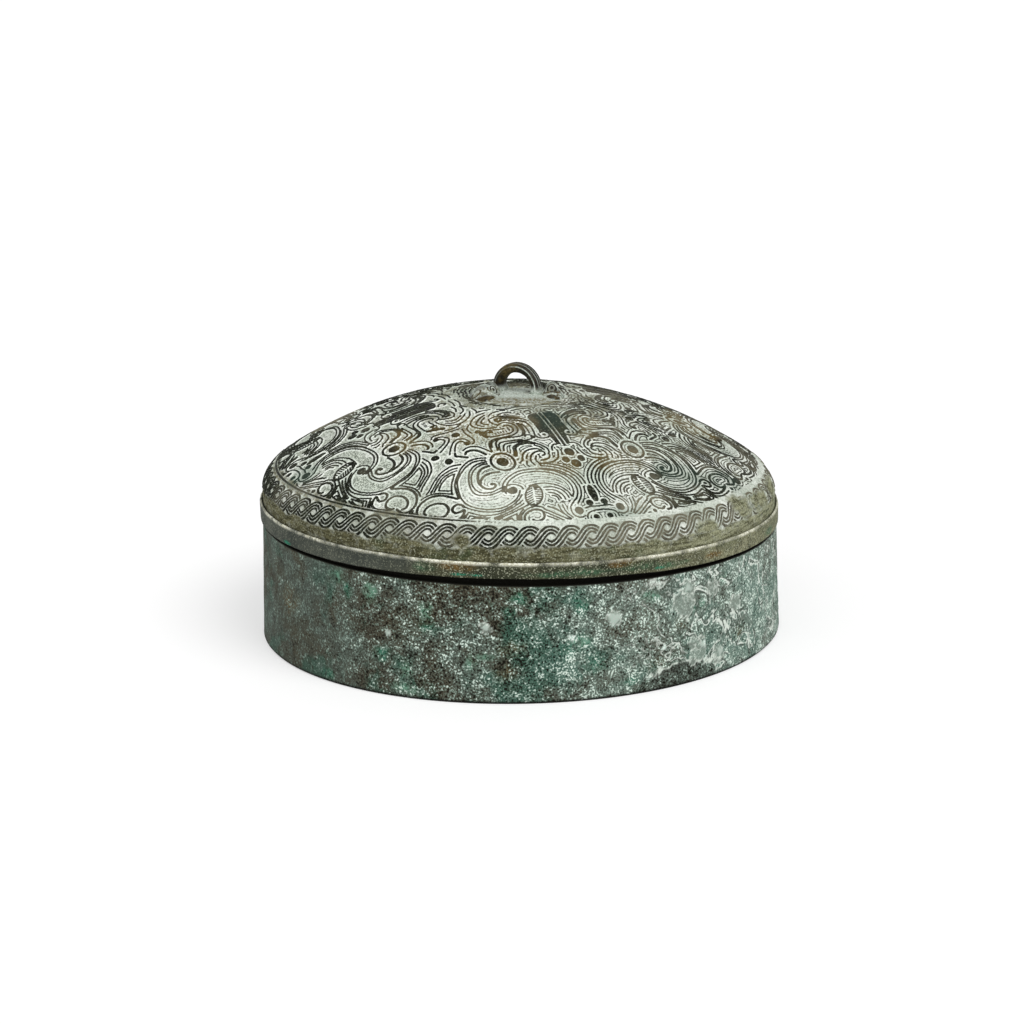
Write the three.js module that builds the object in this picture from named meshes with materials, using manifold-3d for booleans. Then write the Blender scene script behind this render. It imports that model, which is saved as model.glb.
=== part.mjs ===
// Lidded bronze box: a low round box with a let-in base, and a domed lid with a rim hoop and a loop handle.
// Units are millimetres and +Z is up. The origin is the centre of the underside, and the front faces -Y.
import * as THREE from "three";
import { mergeVertices } from "three/addons/utils/BufferGeometryUtils.js";
import Module from "manifold-3d";

const wasm = await Module();
wasm.setup();

// Box wall, with the upright lip that guides the lid
const footRadius = 90; // widest part of the wall, at the ground
const footChamfer = 0.6;
const wallDraft = 1.1; // the wall leans in this much between foot and shoulder
const wallThickness = 2.6;
const shoulderHeight = 39.2; // the ledge that the lid's rim rests on
const shoulderWidth = 1.8;
const shoulderRound = 0.5;
const lipHeight = 4.6; // above the shoulder
const lipThickness = 1.6;
const lipRound = 0.3;
const lipRoot = 3.2; // the lip's inside runs this far below the shoulder
const lipSplay = 2; // height over which the inside of the lip meets the wall

// Base plate, let into the foot of the wall
const baseThickness = 2.4;
const baseRebate = 1.3; // depth of the cut round the wall's foot that takes the plate

// Rim hoop of the lid
const seatGap = 0.4; // between the rim's edge and the shoulder, at the back
const lipClearance = 0.4; // round the lip and above it
const rimThickness = 2.4;
const rimChamfer = 0.4;
const rimBow = 1.85; // the rim's edge rises this much from the back to the front
const rimBowPower = 2.3; // how tightly the rise gathers at the front
const ledgeThickness = 1.2; // inner ledge that carries the dome
const ledgeReach = 1.3; // the ledge runs this far inside the bore
const collarHeight = 0.8; // above the ledge, outside the dome's edge
const collarSlope = 0.3;

// Dome of the lid
const collarWidth = 1.2; // top of the rim that shows outside the dome
const domeThickness = 2.4;
const skirtHeight = 3.2; // straight edge of the dome below its rounded shoulder
const crownCurve = 148; // radius of the dome's top
const shoulderCurve = 10; // radius of the dome's rounded edge
const crownFlat = 20; // radius of the flat seat for the handle at the crown

// Scrolls in relief on the dome, mirrored in pairs round the crown, and a rope border round them
const scrollPairs = 4;
const scrollBearing = 20.7; // of a mirror line, in degrees to the right of the front
const scrollShift = 2.6; // the scrolls' middle lies this far left of the crown
const scrollWidth = 1.8;
const scrollRise = 0.6;
const scrollSink = 0.5; // feet of the raised lines, below the dome's face
const scrollStep = 6; // length of one straight stretch of a raised line
const eyeRing = 4; // radius of the ring round each eye of the scrolls
const drawnReach = 89.4; // the lines below are drawn on a field that reaches this far from its middle
const eyePlace = [-24, 54]; // middle of an eye's ring, as [across, out] from the field's middle
const scrollLines = {
  greatWhirl: [
    [-28, 50], [-36, 50], [-42.3, 55.6], [-44, 64.6],
    [-41.3, 70.5], [-33.6, 75.7], [-27.2, 74.5], [-23.6, 70.7],
  ],
  innerWhirl: [[-29, 53.4], [-34.4, 54], [-37.4, 59.5], [-36.8, 65.4], [-32.6, 67.8], [-28.6, 66.8]],
  crest: [[-26, 64.7], [-20.2, 62], [-12.8, 63.4], [-7.2, 67.4], [-5.2, 73], [-6.7, 78.2], [-9.6, 82.2]],
  heart: [[-56.4, 66], [-59, 62.8], [-57.2, 59], [-53.5, 57.5], [-49.2, 59], [-46.6, 63]],
  fan: [[-37.5, 46.6], [-43, 47.2], [-48.6, 51], [-52.4, 55]],
  bar: [[-3, 26.5], [-5, 30], [-5, 41.5], [-2.6, 45], [-2.4, 51]],
  crownScroll: [[-17, 21.6], [-22, 23.4], [-24.5, 28], [-22, 32.3], [-17.6, 33.7]],
  wave: [[-14.6, 31], [-11.4, 35.5], [-12.6, 39.6], [-17, 41], [-22.7, 41.5], [-24.4, 45.5]],
  tongue: [[-38.6, 40.4], [-35.5, 36], [-32, 34.6], [-29.6, 37.5], [-29, 42]],
};
const ropeTurns = 41;
const ropeSwing = 2.5; // the rope waves this far to both sides
const ropeWidth = 4.4; // from its crest to its foot
const ropeRise = 0.7;

// Boss at the crown, under the loop
const bossRadius = 18.2;
const bossHeight = 0.9; // above the flat seat
const bossSlope = 4; // width of the sloping border
const bossEdge = 0.2; // thickness left at the border's outer edge

// Loop handle: a reeded strap bent to an arch, with tenons through the crown
const handleTurn = -20; // of the loop and its masks about the upright axis, in degrees
const loopRadius = 6.9; // to the middle of the strap
const loopRise = 1.4; // height of the arch's centre above the boss
const strapThickness = 2.6;
const strapWidth = 5;
const reedCount = 3;
const reedDepth = 0.45;
const tenonReach = 1.8; // below the inside of the dome

// Plugs that lock the tenons inside the lid
const plugRadius = 5;
const plugHeight = 3.2;

// Beast masks at the loop's feet
const maskLength = 8.6;
const maskWidth = 15;
const maskHeight = 2.6;
const muzzleLength = 4.6;
const muzzleWidth = 5.6;
const muzzleHeight = 3;
const eyeRadius = 1.3;
const eyeSpread = 4.3; // from the mask's middle line
const eyeSetback = 1.6; // behind the mask's centre, towards the loop

// Fits and mesh fineness
const jointGap = 0.3; // between pieces that are let into each other
const roundSteps = 64;
const smallRoundSteps = 40;
const plugSteps = 24;
const crownSteps = 6;
const shoulderSteps = 4;
const roundness = 4; // steps on a rounded strap edge
const loopSteps = 26;
const eyeSteps = 9;
const ropeSteps = 2; // in each turn of the rope
const meshGrain = 0.001; // points closer than this are one

// Levels and radii that follow from the sizes above
const shoulderRadius = footRadius - wallDraft;
const lipRadius = shoulderRadius - shoulderWidth;
const lipBore = lipRadius - lipThickness;
const lipTop = shoulderHeight + lipHeight;
const rimBore = lipRadius + lipClearance;
const rimRadius = rimBore + rimThickness;
const rimFoot = shoulderHeight + seatGap;
const ledgeFoot = lipTop + lipClearance;
const ledgeTop = ledgeFoot + ledgeThickness;
const collarTop = ledgeTop + collarHeight;
const domeRadius = rimRadius - collarWidth - jointGap;
const domeFoot = ledgeTop + jointGap;
const skirtTop = domeFoot + skirtHeight;
const cornerRadius = domeRadius - shoulderCurve; // where the dome's rounded edge begins
const crownCentre = skirtTop - Math.sqrt((crownCurve - shoulderCurve) ** 2 - cornerRadius ** 2);
const crownTurn = Math.atan2(cornerRadius, skirtTop - crownCentre); // slope where the rounded edge begins
const crownArc = crownCurve * crownTurn; // along the dome from its middle to there
const crownTop = crownCentre + Math.sqrt(crownCurve ** 2 - crownFlat ** 2); // level of the flat seat
const ceiling = crownTop - domeThickness; // level of the crown's inner face
const bossTop = crownTop + bossHeight;
const loopCentre = bossTop + loopRise;
const tenonFoot = ceiling - tenonReach;
const handleAngle = THREE.MathUtils.degToRad(handleTurn);

const bronze = (colour, roughness) =>
  new THREE.MeshStandardMaterial({ color: colour, roughness: roughness, metalness: 0.45 });
const wallBronze = bronze(0x59615a, 0.75);
const baseBronze = bronze(0x4d564f, 0.8);
const rimBronze = bronze(0x5d5c4c, 0.65);
const domeBronze = bronze(0x8f9586, 0.7);
const handleBronze = bronze(0x5e5848, 0.55);

// Closed geometry as a solid that can be joined and cut, with its faces pointing out.
function solidOf(geometry) {
  const bare = new THREE.BufferGeometry().setAttribute("position", geometry.getAttribute("position").clone());
  if (geometry.index) bare.setIndex(geometry.index.clone());
  const merged = mergeVertices(bare, 1e-4);
  const corners = [];
  const index = merged.index.array;
  for (let i = 0; i < index.length; i += 3) {
    const [a, b, c] = index.slice(i, i + 3);
    if (a !== b && b !== c && c !== a) corners.push(a, b, c);
  }
  const vertProperties = merged.getAttribute("position").array;
  const make = (triVerts) => new wasm.Manifold(new wasm.Mesh({ numProp: 3, vertProperties, triVerts }));
  const solid = make(new Uint32Array(corners));
  return solid.volume() > 0 ? solid : make(new Uint32Array(corners.reverse()));
}

// A solid as a named mesh of the scene.
function piece(name, solid, material) {
  const { vertProperties, triVerts } = solid.getMesh();
  const geometry = new THREE.BufferGeometry();
  geometry.setAttribute("position", new THREE.BufferAttribute(new Float32Array(vertProperties), 3));
  geometry.setIndex(new THREE.BufferAttribute(new Uint32Array(triVerts), 1));
  geometry.computeVertexNormals();
  const mesh = new THREE.Mesh(geometry, material);
  mesh.name = name;
  return mesh;
}

// A turned shape round the Z axis, from [radius, height] points.
function turned(profile, steps) {
  const points = profile.map(([radius, height]) => new THREE.Vector2(radius, height));
  return new THREE.LatheGeometry(points, steps).rotateX(Math.PI / 2);
}

// Points of an arc in the turned section, from one angle above the horizontal to another.
function arcPoints(radius, centreRadius, centreHeight, from, to, steps) {
  return Array.from({ length: steps + 1 }, (_, i) => {
    const angle = from + ((to - from) * i) / steps;
    return [centreRadius + radius * Math.cos(angle), centreHeight + radius * Math.sin(angle)];
  });
}

function ellipsoid(size, place) {
  const geometry = new THREE.SphereGeometry(1, 16, 10);
  geometry.scale(size[0], size[1], size[2]).translate(place[0], place[1], place[2]);
  return solidOf(geometry);
}

// The foot is rebated inside for the base, and the mouth is stepped to leave the lip standing.
function wall() {
  const footBore = footRadius - wallThickness;
  const rebateRadius = footRadius - wallThickness + baseRebate;
  const rebateTop = baseThickness + jointGap;
  const wallBore = shoulderRadius - wallThickness;
  const lipEnd = shoulderHeight - lipRoot;
  const profile = [
    [footRadius - footChamfer, 0],
    [footRadius, footChamfer],
    [shoulderRadius, shoulderHeight - shoulderRound],
    [shoulderRadius - shoulderRound, shoulderHeight],
    [lipRadius, shoulderHeight],
    [lipRadius, lipTop - lipRound],
    [lipRadius - lipRound, lipTop],
    [lipBore + lipRound, lipTop],
    [lipBore, lipTop - lipRound],
    [lipBore, lipEnd],
    [wallBore, lipEnd - lipSplay],
    [footBore, rebateTop],
    [rebateRadius, rebateTop],
    [rebateRadius, 0],
    [footRadius - footChamfer, 0],
  ];
  return piece("box_wall", solidOf(turned(profile, roundSteps)), wallBronze);
}

function basePlate() {
  const plateRadius = footRadius - wallThickness + baseRebate - jointGap;
  const profile = [[0, 0], [plateRadius, 0], [plateRadius, baseThickness], [0, baseThickness]];
  return piece("base_plate", solidOf(turned(profile, roundSteps)), baseBronze);
}

// The hoop's edge is uneven: it rests on the shoulder at the back and bows up towards the front.
function rimHoop() {
  const ledgeBore = rimBore - ledgeReach;
  const profile = [
    [rimBore, rimFoot],
    [rimRadius - rimChamfer, rimFoot],
    [rimRadius, rimFoot + rimChamfer],
    [rimRadius, collarTop - collarSlope],
    [rimRadius - collarSlope, collarTop],
    [domeRadius + jointGap, collarTop],
    [domeRadius + jointGap, ledgeTop],
    [ledgeBore, ledgeTop],
    [ledgeBore, ledgeFoot],
    [rimBore, ledgeFoot],
    [rimBore, rimFoot],
  ];
  const geometry = turned(profile, roundSteps);
  const place = geometry.getAttribute("position");
  for (let i = 0; i < place.count; i++) {
    const [x, y, z] = [place.getX(i), place.getY(i), place.getZ(i)];
    const facing = (1 - y / Math.hypot(x, y)) / 2; // 1 at the front, 0 at the back
    const share = Math.max(0, (ledgeFoot - z) / (ledgeFoot - rimFoot));
    place.setZ(i, z + rimBow * share * facing ** rimBowPower);
  }
  return piece("rim_hoop", solidOf(geometry), rimBronze);
}

// One face of the dome, from its edge up to the flat seat at the crown, set in by the given depth.
function domeFace(depth) {
  const turn = Math.PI / 2 - crownTurn;
  const flatTurn = Math.asin((crownTop - depth - crownCentre) / (crownCurve - depth));
  const shoulder = arcPoints(shoulderCurve - depth, cornerRadius, skirtTop, 0, turn, shoulderSteps);
  const crown = arcPoints(crownCurve - depth, 0, crownCentre, turn, flatTurn, crownSteps).slice(1);
  return [[domeRadius - depth, domeFoot], ...shoulder, ...crown, [0, crownTop - depth]];
}

// A point at a height over the dome's outer face, by its way from the crown along the face and its bearing.
function onDome(arc, bearing, rise) {
  const onCrown = arc < crownArc;
  const slope = onCrown ? arc / crownCurve : crownTurn + (arc - crownArc) / shoulderCurve;
  const bend = rise + (onCrown ? crownCurve : shoulderCurve);
  const radius = bend * Math.sin(slope) + (onCrown ? 0 : cornerRadius);
  const height = bend * Math.cos(slope) + (onCrown ? crownCentre : skirtTop);
  return new THREE.Vector3(radius * Math.sin(bearing), -radius * Math.cos(bearing), height);
}

// A three-sided raised line through [arc, bearing] places on the dome, open or closed on itself.
function raisedLine(places, closed) {
  const count = places.length;
  const middle = places.map(([arc, bearing]) => onDome(arc, bearing, 0));
  const corners = places.flatMap(([arc, bearing], i) => {
    const before = middle[closed ? (i + count - 1) % count : Math.max(i - 1, 0)];
    const after = middle[closed ? (i + 1) % count : Math.min(i + 1, count - 1)];
    const along = after.clone().sub(before);
    const aside = onDome(arc, bearing, 1).sub(middle[i]).cross(along).setLength(scrollWidth / 2);
    const foot = onDome(arc, bearing, -scrollSink);
    return [foot.clone().add(aside), onDome(arc, bearing, scrollRise), foot.clone().sub(aside)];
  });
  const index = closed ? [] : [0, 1, 2, 3 * count - 1, 3 * count - 2, 3 * count - 3];
  for (let i = 0; i < (closed ? count : count - 1); i++) {
    const next = (i + 1) % count;
    for (let side = 0; side < 3; side++) {
      const [a, b] = [3 * i + side, 3 * i + (side + 1) % 3];
      const [c, d] = [3 * next + side, 3 * next + (side + 1) % 3];
      index.push(a, c, b, b, c, d);
    }
  }
  return solidOf(new THREE.BufferGeometry().setFromPoints(corners).setIndex(index));
}

// Places on the dome of points in the drawing, in one of the mirrored pairs.
function scrollPlaces(points, pair, flank) {
  const axis = THREE.MathUtils.degToRad(scrollBearing) + (2 * Math.PI * pair) / scrollPairs;
  return points.map(({ x, y }) => {
    const reach = (Math.hypot(x, y) * (crownArc - scrollShift)) / (drawnReach - scrollShift);
    const turn = axis + flank * Math.atan2(x, y);
    const [right, front] = [reach * Math.sin(turn) - scrollShift, reach * Math.cos(turn)];
    return [Math.hypot(right, front), Math.atan2(right, front)];
  });
}

// Lines of the drawing as short straight stretches, with a ring round the eye.
function drawnScrolls() {
  const lines = Object.values(scrollLines).map((points) => {
    const curve = new THREE.SplineCurve(points.map(([across, out]) => new THREE.Vector2(across, out)));
    return { closed: false, points: curve.getSpacedPoints(Math.ceil(curve.getLength() / scrollStep)) };
  });
  const ring = Array.from({ length: eyeSteps }, (_, i) => {
    const angle = (2 * Math.PI * i) / eyeSteps;
    return { x: eyePlace[0] + eyeRing * Math.cos(angle), y: eyePlace[1] + eyeRing * Math.sin(angle) };
  });
  return [...lines, { closed: true, points: ring }];
}

// The rope border: a wavy ridge along the middle of the dome's rounded edge.
function raiseRope(geometry) {
  const middle = (Math.PI / 2 - crownTurn) / 2;
  const place = geometry.getAttribute("position");
  for (let i = 0; i < place.count; i++) {
    const [x, y, z] = [place.getX(i), place.getY(i), place.getZ(i)];
    const radius = Math.hypot(x, y);
    const [out, up] = [radius - cornerRadius, z - skirtTop];
    if (out < 0 || Math.abs(Math.hypot(out, up) - shoulderCurve) > meshGrain) continue;
    const wave = ropeSwing * Math.cos(ropeTurns * Math.atan2(x, -y));
    const gap = Math.abs(shoulderCurve * (Math.atan2(up, out) - middle) - wave);
    const swell = (ropeRise / shoulderCurve) * Math.max(0, 1 - gap / ropeWidth);
    const spread = 1 + (swell * out) / radius;
    place.setXYZ(i, x * spread, y * spread, z + swell * up);
  }
  return geometry;
}

// The hole that one foot of the loop passes through.
function tenonHole(side, clearance) {
  const height = loopCentre - tenonFoot + 2 * clearance;
  const geometry = new THREE.BoxGeometry(strapThickness + 2 * clearance, strapWidth + 2 * clearance, height);
  geometry.translate(side * loopRadius, 0, (loopCentre + tenonFoot) / 2).rotateZ(handleAngle);
  return solidOf(geometry);
}

const withTenonHoles = (solid) => solid.subtract(tenonHole(-1, jointGap)).subtract(tenonHole(1, jointGap));

function dome() {
  const profile = [...domeFace(0), ...domeFace(domeThickness).reverse(), [domeRadius, domeFoot]];
  let shell = withTenonHoles(solidOf(raiseRope(turned(profile, ropeTurns * ropeSteps))));
  for (const { points, closed } of drawnScrolls()) {
    for (let pair = 0; pair < scrollPairs; pair++) {
      for (const flank of [-1, 1]) shell = shell.add(raisedLine(scrollPlaces(points, pair, flank), closed));
    }
  }
  return piece("lid_dome", shell, domeBronze);
}

// A low round plate bedded on the crown's flat seat, with a sloping border.
function boss() {
  const seat = crownTop + jointGap;
  const profile = [
    [0, seat],
    [bossRadius, seat],
    [bossRadius, seat + bossEdge],
    [bossRadius - bossSlope, bossTop],
    [0, bossTop],
  ];
  return piece("handle_boss", withTenonHoles(solidOf(turned(profile, smallRoundSteps))), handleBronze);
}

// The strap's line: up one tenon, over the arch and down the other.
class LoopLine extends THREE.Curve {
  getPoint(share, target = new THREE.Vector3()) {
    const leg = loopCentre - tenonFoot;
    const arch = Math.PI * loopRadius;
    const along = share * (2 * leg + arch);
    if (along < leg) return target.set(-loopRadius, 0, tenonFoot + along);
    if (along > leg + arch) return target.set(loopRadius, 0, loopCentre - (along - leg - arch));
    const angle = Math.PI - (along - leg) / loopRadius;
    return target.set(loopRadius * Math.cos(angle), 0, loopCentre + loopRadius * Math.sin(angle));
  }
}

// The strap's section: flat inside with rounded edges, and reeded along its outside.
function strapSection() {
  const half = strapWidth / 2;
  const inner = strapThickness / 2;
  const outer = inner - reedDepth;
  const reed = strapWidth / reedCount;
  const section = new THREE.Shape();
  section.moveTo(half - reedDepth, inner);
  section.lineTo(half, inner - reedDepth);
  for (let i = 0; i < reedCount; i++) {
    const start = half - i * reed;
    if (i === 0) section.lineTo(start, -outer);
    section.quadraticCurveTo(start - reed / 2, -outer - 2 * reedDepth, start - reed, -outer);
  }
  section.lineTo(-half, inner - reedDepth);
  section.lineTo(reedDepth - half, inner);
  section.closePath();
  return section;
}

function loop() {
  const geometry = new THREE.ExtrudeGeometry(strapSection(), {
    steps: loopSteps,
    curveSegments: roundness,
    extrudePath: new LoopLine(),
  });
  return piece("loop_handle", solidOf(geometry.rotateZ(handleAngle)), handleBronze);
}

// A pour of metal under the dome that grips the end of one tenon.
function plug(name, side) {
  const top = ceiling - jointGap;
  const floor = top - plugHeight;
  const profile = [[0, top], [plugRadius, top]];
  profile.push(...arcPoints(1, 0, 0, 0, -Math.PI / 2, roundness).map(([across, down]) => [
    plugRadius * across,
    floor + plugHeight * (1 + down) / 2,
  ]));
  profile[profile.length - 1][0] = 0;
  const blank = solidOf(turned(profile, plugSteps).translate(side * loopRadius, 0, 0).rotateZ(handleAngle));
  return piece(name, blank.subtract(tenonHole(side, jointGap)), baseBronze);
}

// A beast's head with its brow to the loop and its muzzle pointing out along the dome.
function mask(name, side) {
  const reach = loopRadius + strapThickness / 2 + jointGap + maskLength / 2;
  const bed = bossTop + jointGap;
  const muzzle = side * (reach + (maskLength - muzzleLength) / 2);
  let head = ellipsoid([maskLength / 2, maskWidth / 2, maskHeight], [side * reach, 0, bed]);
  head = head.add(ellipsoid([muzzleLength / 2, muzzleWidth / 2, muzzleHeight], [muzzle, 0, bed]));
  for (const flank of [-1, 1]) {
    const eye = [side * (reach - eyeSetback), flank * eyeSpread, bed + maskHeight - eyeRadius];
    head = head.add(ellipsoid([eyeRadius, eyeRadius, eyeRadius], eye));
  }
  return piece(name, head.trimByPlane([0, 0, 1], bed).rotate([0, 0, handleTurn]), handleBronze);
}

const box = new THREE.Group();
box.add(wall(), basePlate());

const lid = new THREE.Group();
lid.add(rimHoop(), dome(), boss(), loop());
lid.add(mask("left_mask", -1), mask("right_mask", 1));
lid.add(plug("left_tenon_plug", -1), plug("right_tenon_plug", 1));

const bronzeBox = new THREE.Group();
bronzeBox.add(box, lid);

export default bronzeBox;
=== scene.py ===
import math

import bpy
import numpy as np
from mathutils import Matrix, Vector


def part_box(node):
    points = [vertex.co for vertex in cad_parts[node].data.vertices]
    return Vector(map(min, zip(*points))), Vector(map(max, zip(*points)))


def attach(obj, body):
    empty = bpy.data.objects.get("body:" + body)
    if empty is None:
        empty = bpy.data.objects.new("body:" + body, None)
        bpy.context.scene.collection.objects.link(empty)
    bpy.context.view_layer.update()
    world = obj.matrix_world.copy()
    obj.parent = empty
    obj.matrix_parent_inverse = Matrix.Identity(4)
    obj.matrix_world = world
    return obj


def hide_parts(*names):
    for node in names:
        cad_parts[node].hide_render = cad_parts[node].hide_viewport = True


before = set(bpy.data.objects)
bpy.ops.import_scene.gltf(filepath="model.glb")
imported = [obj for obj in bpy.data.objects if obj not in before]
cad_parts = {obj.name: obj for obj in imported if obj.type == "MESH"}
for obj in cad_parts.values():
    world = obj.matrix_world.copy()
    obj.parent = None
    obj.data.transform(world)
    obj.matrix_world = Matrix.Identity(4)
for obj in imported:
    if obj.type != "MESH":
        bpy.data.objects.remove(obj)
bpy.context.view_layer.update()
mm = 0.001


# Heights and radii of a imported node, in millimetres
def levels(node):
    low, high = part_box(node)
    return low.z / mm, high.z / mm, high.x / mm


baseFoot, baseTop, baseRadius = levels("base_plate")
wallFoot, lipTop, footRadius = levels("box_wall")
rimFoot, collarTop, rimRadius = levels("rim_hoop")
collarWidth = 1.5  # of the rim, with its gap round the dome
domeFoot, domeRadius = levels("lid_dome")[0], rimRadius - collarWidth
bossTop, bossRadius = levels("handle_boss")[1:]
loopFoot, loopTop = levels("loop_handle")[:2]
print("frame loaded, box", round(2 * footRadius, 1), "mm across")


# Smooth step from 0 at low to 1 at high
def fade(low, high, value):
    part = np.clip((value - low) / (high - low), 0, 1)
    return part * part * (3 - 2 * part)


# Smooth hump of height 1 round a middle
def hump(middle, width, value):
    return np.exp(-((value - middle) / width) ** 2)


# Smooth random values from 0 to 1 with lumps of the given size in mm
def lumps(points, size, seed):
    cells = points / size + 17.31 * seed
    base = np.floor(cells).astype(np.int64)
    part = cells - base
    part = part * part * (3 - 2 * part)
    total = np.zeros(len(points))
    for corner in range(8):
        step = np.array([corner & 1, corner >> 1 & 1, corner >> 2])
        key = (base + step) @ np.array([73856093, 19349663, 83492791]) + 7919 * seed
        key = (key ^ (key >> 13)) * 1274126177
        key = (key ^ (key >> 16)) & 65535
        total += np.prod(np.where(step, part, 1 - part), axis=1) * key / 65535
    return total


# Lumps with finer lumps on them
def crumbs(points, size, seed, layers=3):
    total, weight = 0, 0
    for layer in range(layers):
        share = 0.55 ** layer
        total = total + share * lumps(points, size / 2 ** layer, seed + 31 * layer)
        weight += share
    return total / weight


# Crumbs that swing about zero
def ripple(points, size, seed, layers=3):
    return crumbs(points, size, seed, layers) - 0.5


bakeMargin = 0.01  # left free round the map for baking


# A mesh object from points in mm and lists of polygons, with point values and a map for baking
def meshPiece(name, points, polygons, values=None, bakeMap=None):
    mesh = bpy.data.meshes.new(name)
    corners = np.concatenate([np.asarray(p).ravel() for p in polygons]).astype(np.int32)
    sizes = np.concatenate([np.full(len(p), np.asarray(p).shape[1]) for p in polygons])
    starts = np.concatenate([[0], np.cumsum(sizes)[:-1]]).astype(np.int32)
    mesh.vertices.add(len(points))
    mesh.vertices.foreach_set("co", (np.asarray(points) * mm).astype(np.float32).ravel())
    mesh.loops.add(len(corners))
    mesh.loops.foreach_set("vertex_index", corners)
    mesh.polygons.add(len(sizes))
    mesh.polygons.foreach_set("loop_start", starts)
    mesh.update(calc_edges=True)
    mesh.polygons.foreach_set("use_smooth", np.ones(len(sizes), bool))
    for key, value in (values or {}).items():
        mesh.attributes.new(key, "FLOAT", "POINT").data.foreach_set("value", value.astype(np.float32))
    if bakeMap is not None:
        place = bakeMap[corners].copy()
        owner = np.repeat(np.arange(len(sizes)), sizes)
        widest = np.zeros(len(sizes))
        np.maximum.at(widest, owner, place[:, 0])
        seam = (widest[owner] - place[:, 0] > 0.5) & (place[:, 0] < 0.25)
        place[seam, 0] += 1  # the strip's last column closes on its first
        layer = mesh.uv_layers.new(name="OFBake")
        layer.data.foreach_set("uv", (place * (1 - 2 * bakeMargin) + bakeMargin).astype(np.float32).ravel())
    mesh.validate()
    piece = bpy.data.objects.new(name, mesh)
    bpy.context.scene.collection.objects.link(piece)
    return piece


# A finished piece: its material, the body it rides on, its slot and the nodes it stands for; the slot is
# not used
def dress(piece, material, body, slot, *nodes):
    piece.data.materials.append(material)
    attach(piece, body)
    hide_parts(*nodes)
    print(piece.name, len(piece.data.polygons), "faces")


# A path of (radius, height) points with stretches cut to the given step
def finePath(points, steps):
    path = []
    for (a, b), step in zip(zip(points, points[1:]), steps):
        count = max(1, round(math.dist(a, b) / step))
        path += [(a[0] + (b[0] - a[0]) * i / count, a[1] + (b[1] - a[1]) * i / count) for i in range(count)]
    return np.array(path + [points[-1]])


# Each corner of a ring and the one after it
def ringSteps(count):
    here = np.arange(count)
    return here, (here + 1) % count


# Quads between rings that follow each other
def ringQuads(rows, columns, closed=False):
    row = np.arange(rows if closed else rows - 1)[:, None]
    here, after = ringSteps(columns)
    ring, nextRing = row * columns, (row + 1) % rows * columns
    return np.stack([ring + here, ring + after, nextRing + after, nextRing + here], -1).reshape(-1, 4)


# Triangles from one corner to the edges of a ring
def fan(tip, first, second):
    return np.stack([np.full(len(first), tip), first, second], -1)


# Points, outward normals, quads and bake map of a section turned round the axis
def turned(path, columns, closed=True):
    path = path[:-1] if closed else path
    ahead = np.roll(path, -1, 0) - np.roll(path, 1, 0)
    if not closed:
        ahead = np.gradient(path, axis=0)
    ahead = ahead / np.linalg.norm(ahead, axis=1)[:, None]
    angle = 2 * np.pi * np.arange(columns) / columns
    ring = np.stack([np.sin(angle), -np.cos(angle)], -1)  # starts at the front and turns to the right
    height, lift = np.repeat(path[:, None, 1:], columns, 1), np.repeat(-ahead[:, None, :1], columns, 1)
    points = np.concatenate([path[:, None, :1] * ring[None], height], 2)
    normals = np.concatenate([ahead[:, None, 1:] * ring[None], lift], 2)
    lengths = np.concatenate([[0], np.cumsum(np.linalg.norm(np.diff(path, axis=0), axis=1))])
    bakeMap = np.stack(np.meshgrid(np.arange(columns) / columns, lengths / (lengths[-1] + 2)), -1)
    quads = ringQuads(len(path), columns, closed)
    return points.reshape(-1, 3), normals.reshape(-1, 3), [quads], bakeMap.reshape(-1, 2)


# Angle from the front, in degrees, positive to the right
def bearing(points):
    return np.degrees(np.arctan2(points[:, 0], -points[:, 1]))


# How much a point lies in a ragged spot at a bearing and height
def spot(points, radius, turn, height, width, tall, seed, ragged, edge):
    across = np.radians((bearing(points) - turn + 180) % 360 - 180) * radius / (width / 2)
    up = (points[:, 2] - height) / (tall / 2)
    gap = np.hypot(across, up) + ragged * ripple(points, 2.2, seed, 2)
    return 1 - fade(*edge, gap)


# The strongest of some ragged spots
def spots(points, radius, places, seed, ragged, edge):
    shares = [spot(points, radius, *place, seed + i, ragged, edge) for i, place in enumerate(places)]
    return np.max(shares, 0)


# Warp of the lid: its front is lifted a little, and it leans to the right as the box's upper edge does
lidWarp = {"lift": 1.25, "power": 1.6, "lean": 0.0236}


def frontLift(points):
    return lidWarp["lift"] * np.clip(-points[:, 1] / domeRadius, 0, 1) ** lidWarp["power"]


def lidLean(points):
    return -lidWarp["lean"] * points[:, 0]


# Linear colour from a hex code
def tint(code):
    parts = [int(code[i:i + 2], 16) / 255 for i in (0, 2, 4)]
    return [p / 12.92 if p <= 0.04045 else ((p + 0.055) / 1.055) ** 2.4 for p in parts] + [1]


tree = None  # the node tree that is being filled


# Clears the owner's node tree, which the functions below then fill
def startTree(owner):
    global tree
    owner.use_nodes = True
    tree = owner.node_tree
    tree.nodes.clear()


def newMaterial(name):
    material = bpy.data.materials.new(name)
    startTree(material)
    return material


def addNode(kind, inputs=None, **settings):
    item = tree.nodes.new(kind)
    for key, value in settings.items():
        setattr(item, key, value)
    for key, value in (inputs or {}).items():
        if isinstance(value, bpy.types.NodeSocket):
            tree.links.new(value, item.inputs[key])
        else:
            item.inputs[key].default_value = value
    return item


def noise(coords, scale, detail=2.0, rough=0.5, twist=0.0):
    return addNode("ShaderNodeTexNoise", {
        "Vector": coords, "Scale": scale, "Detail": detail, "Roughness": rough, "Distortion": twist,
    }).outputs["Fac"]


def calc(operation, first, second=0.0, third=0.0, clamp=False):
    return addNode("ShaderNodeMath", {0: first, 1: second, 2: third}, operation=operation,
                   use_clamp=clamp).outputs[0]


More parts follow.
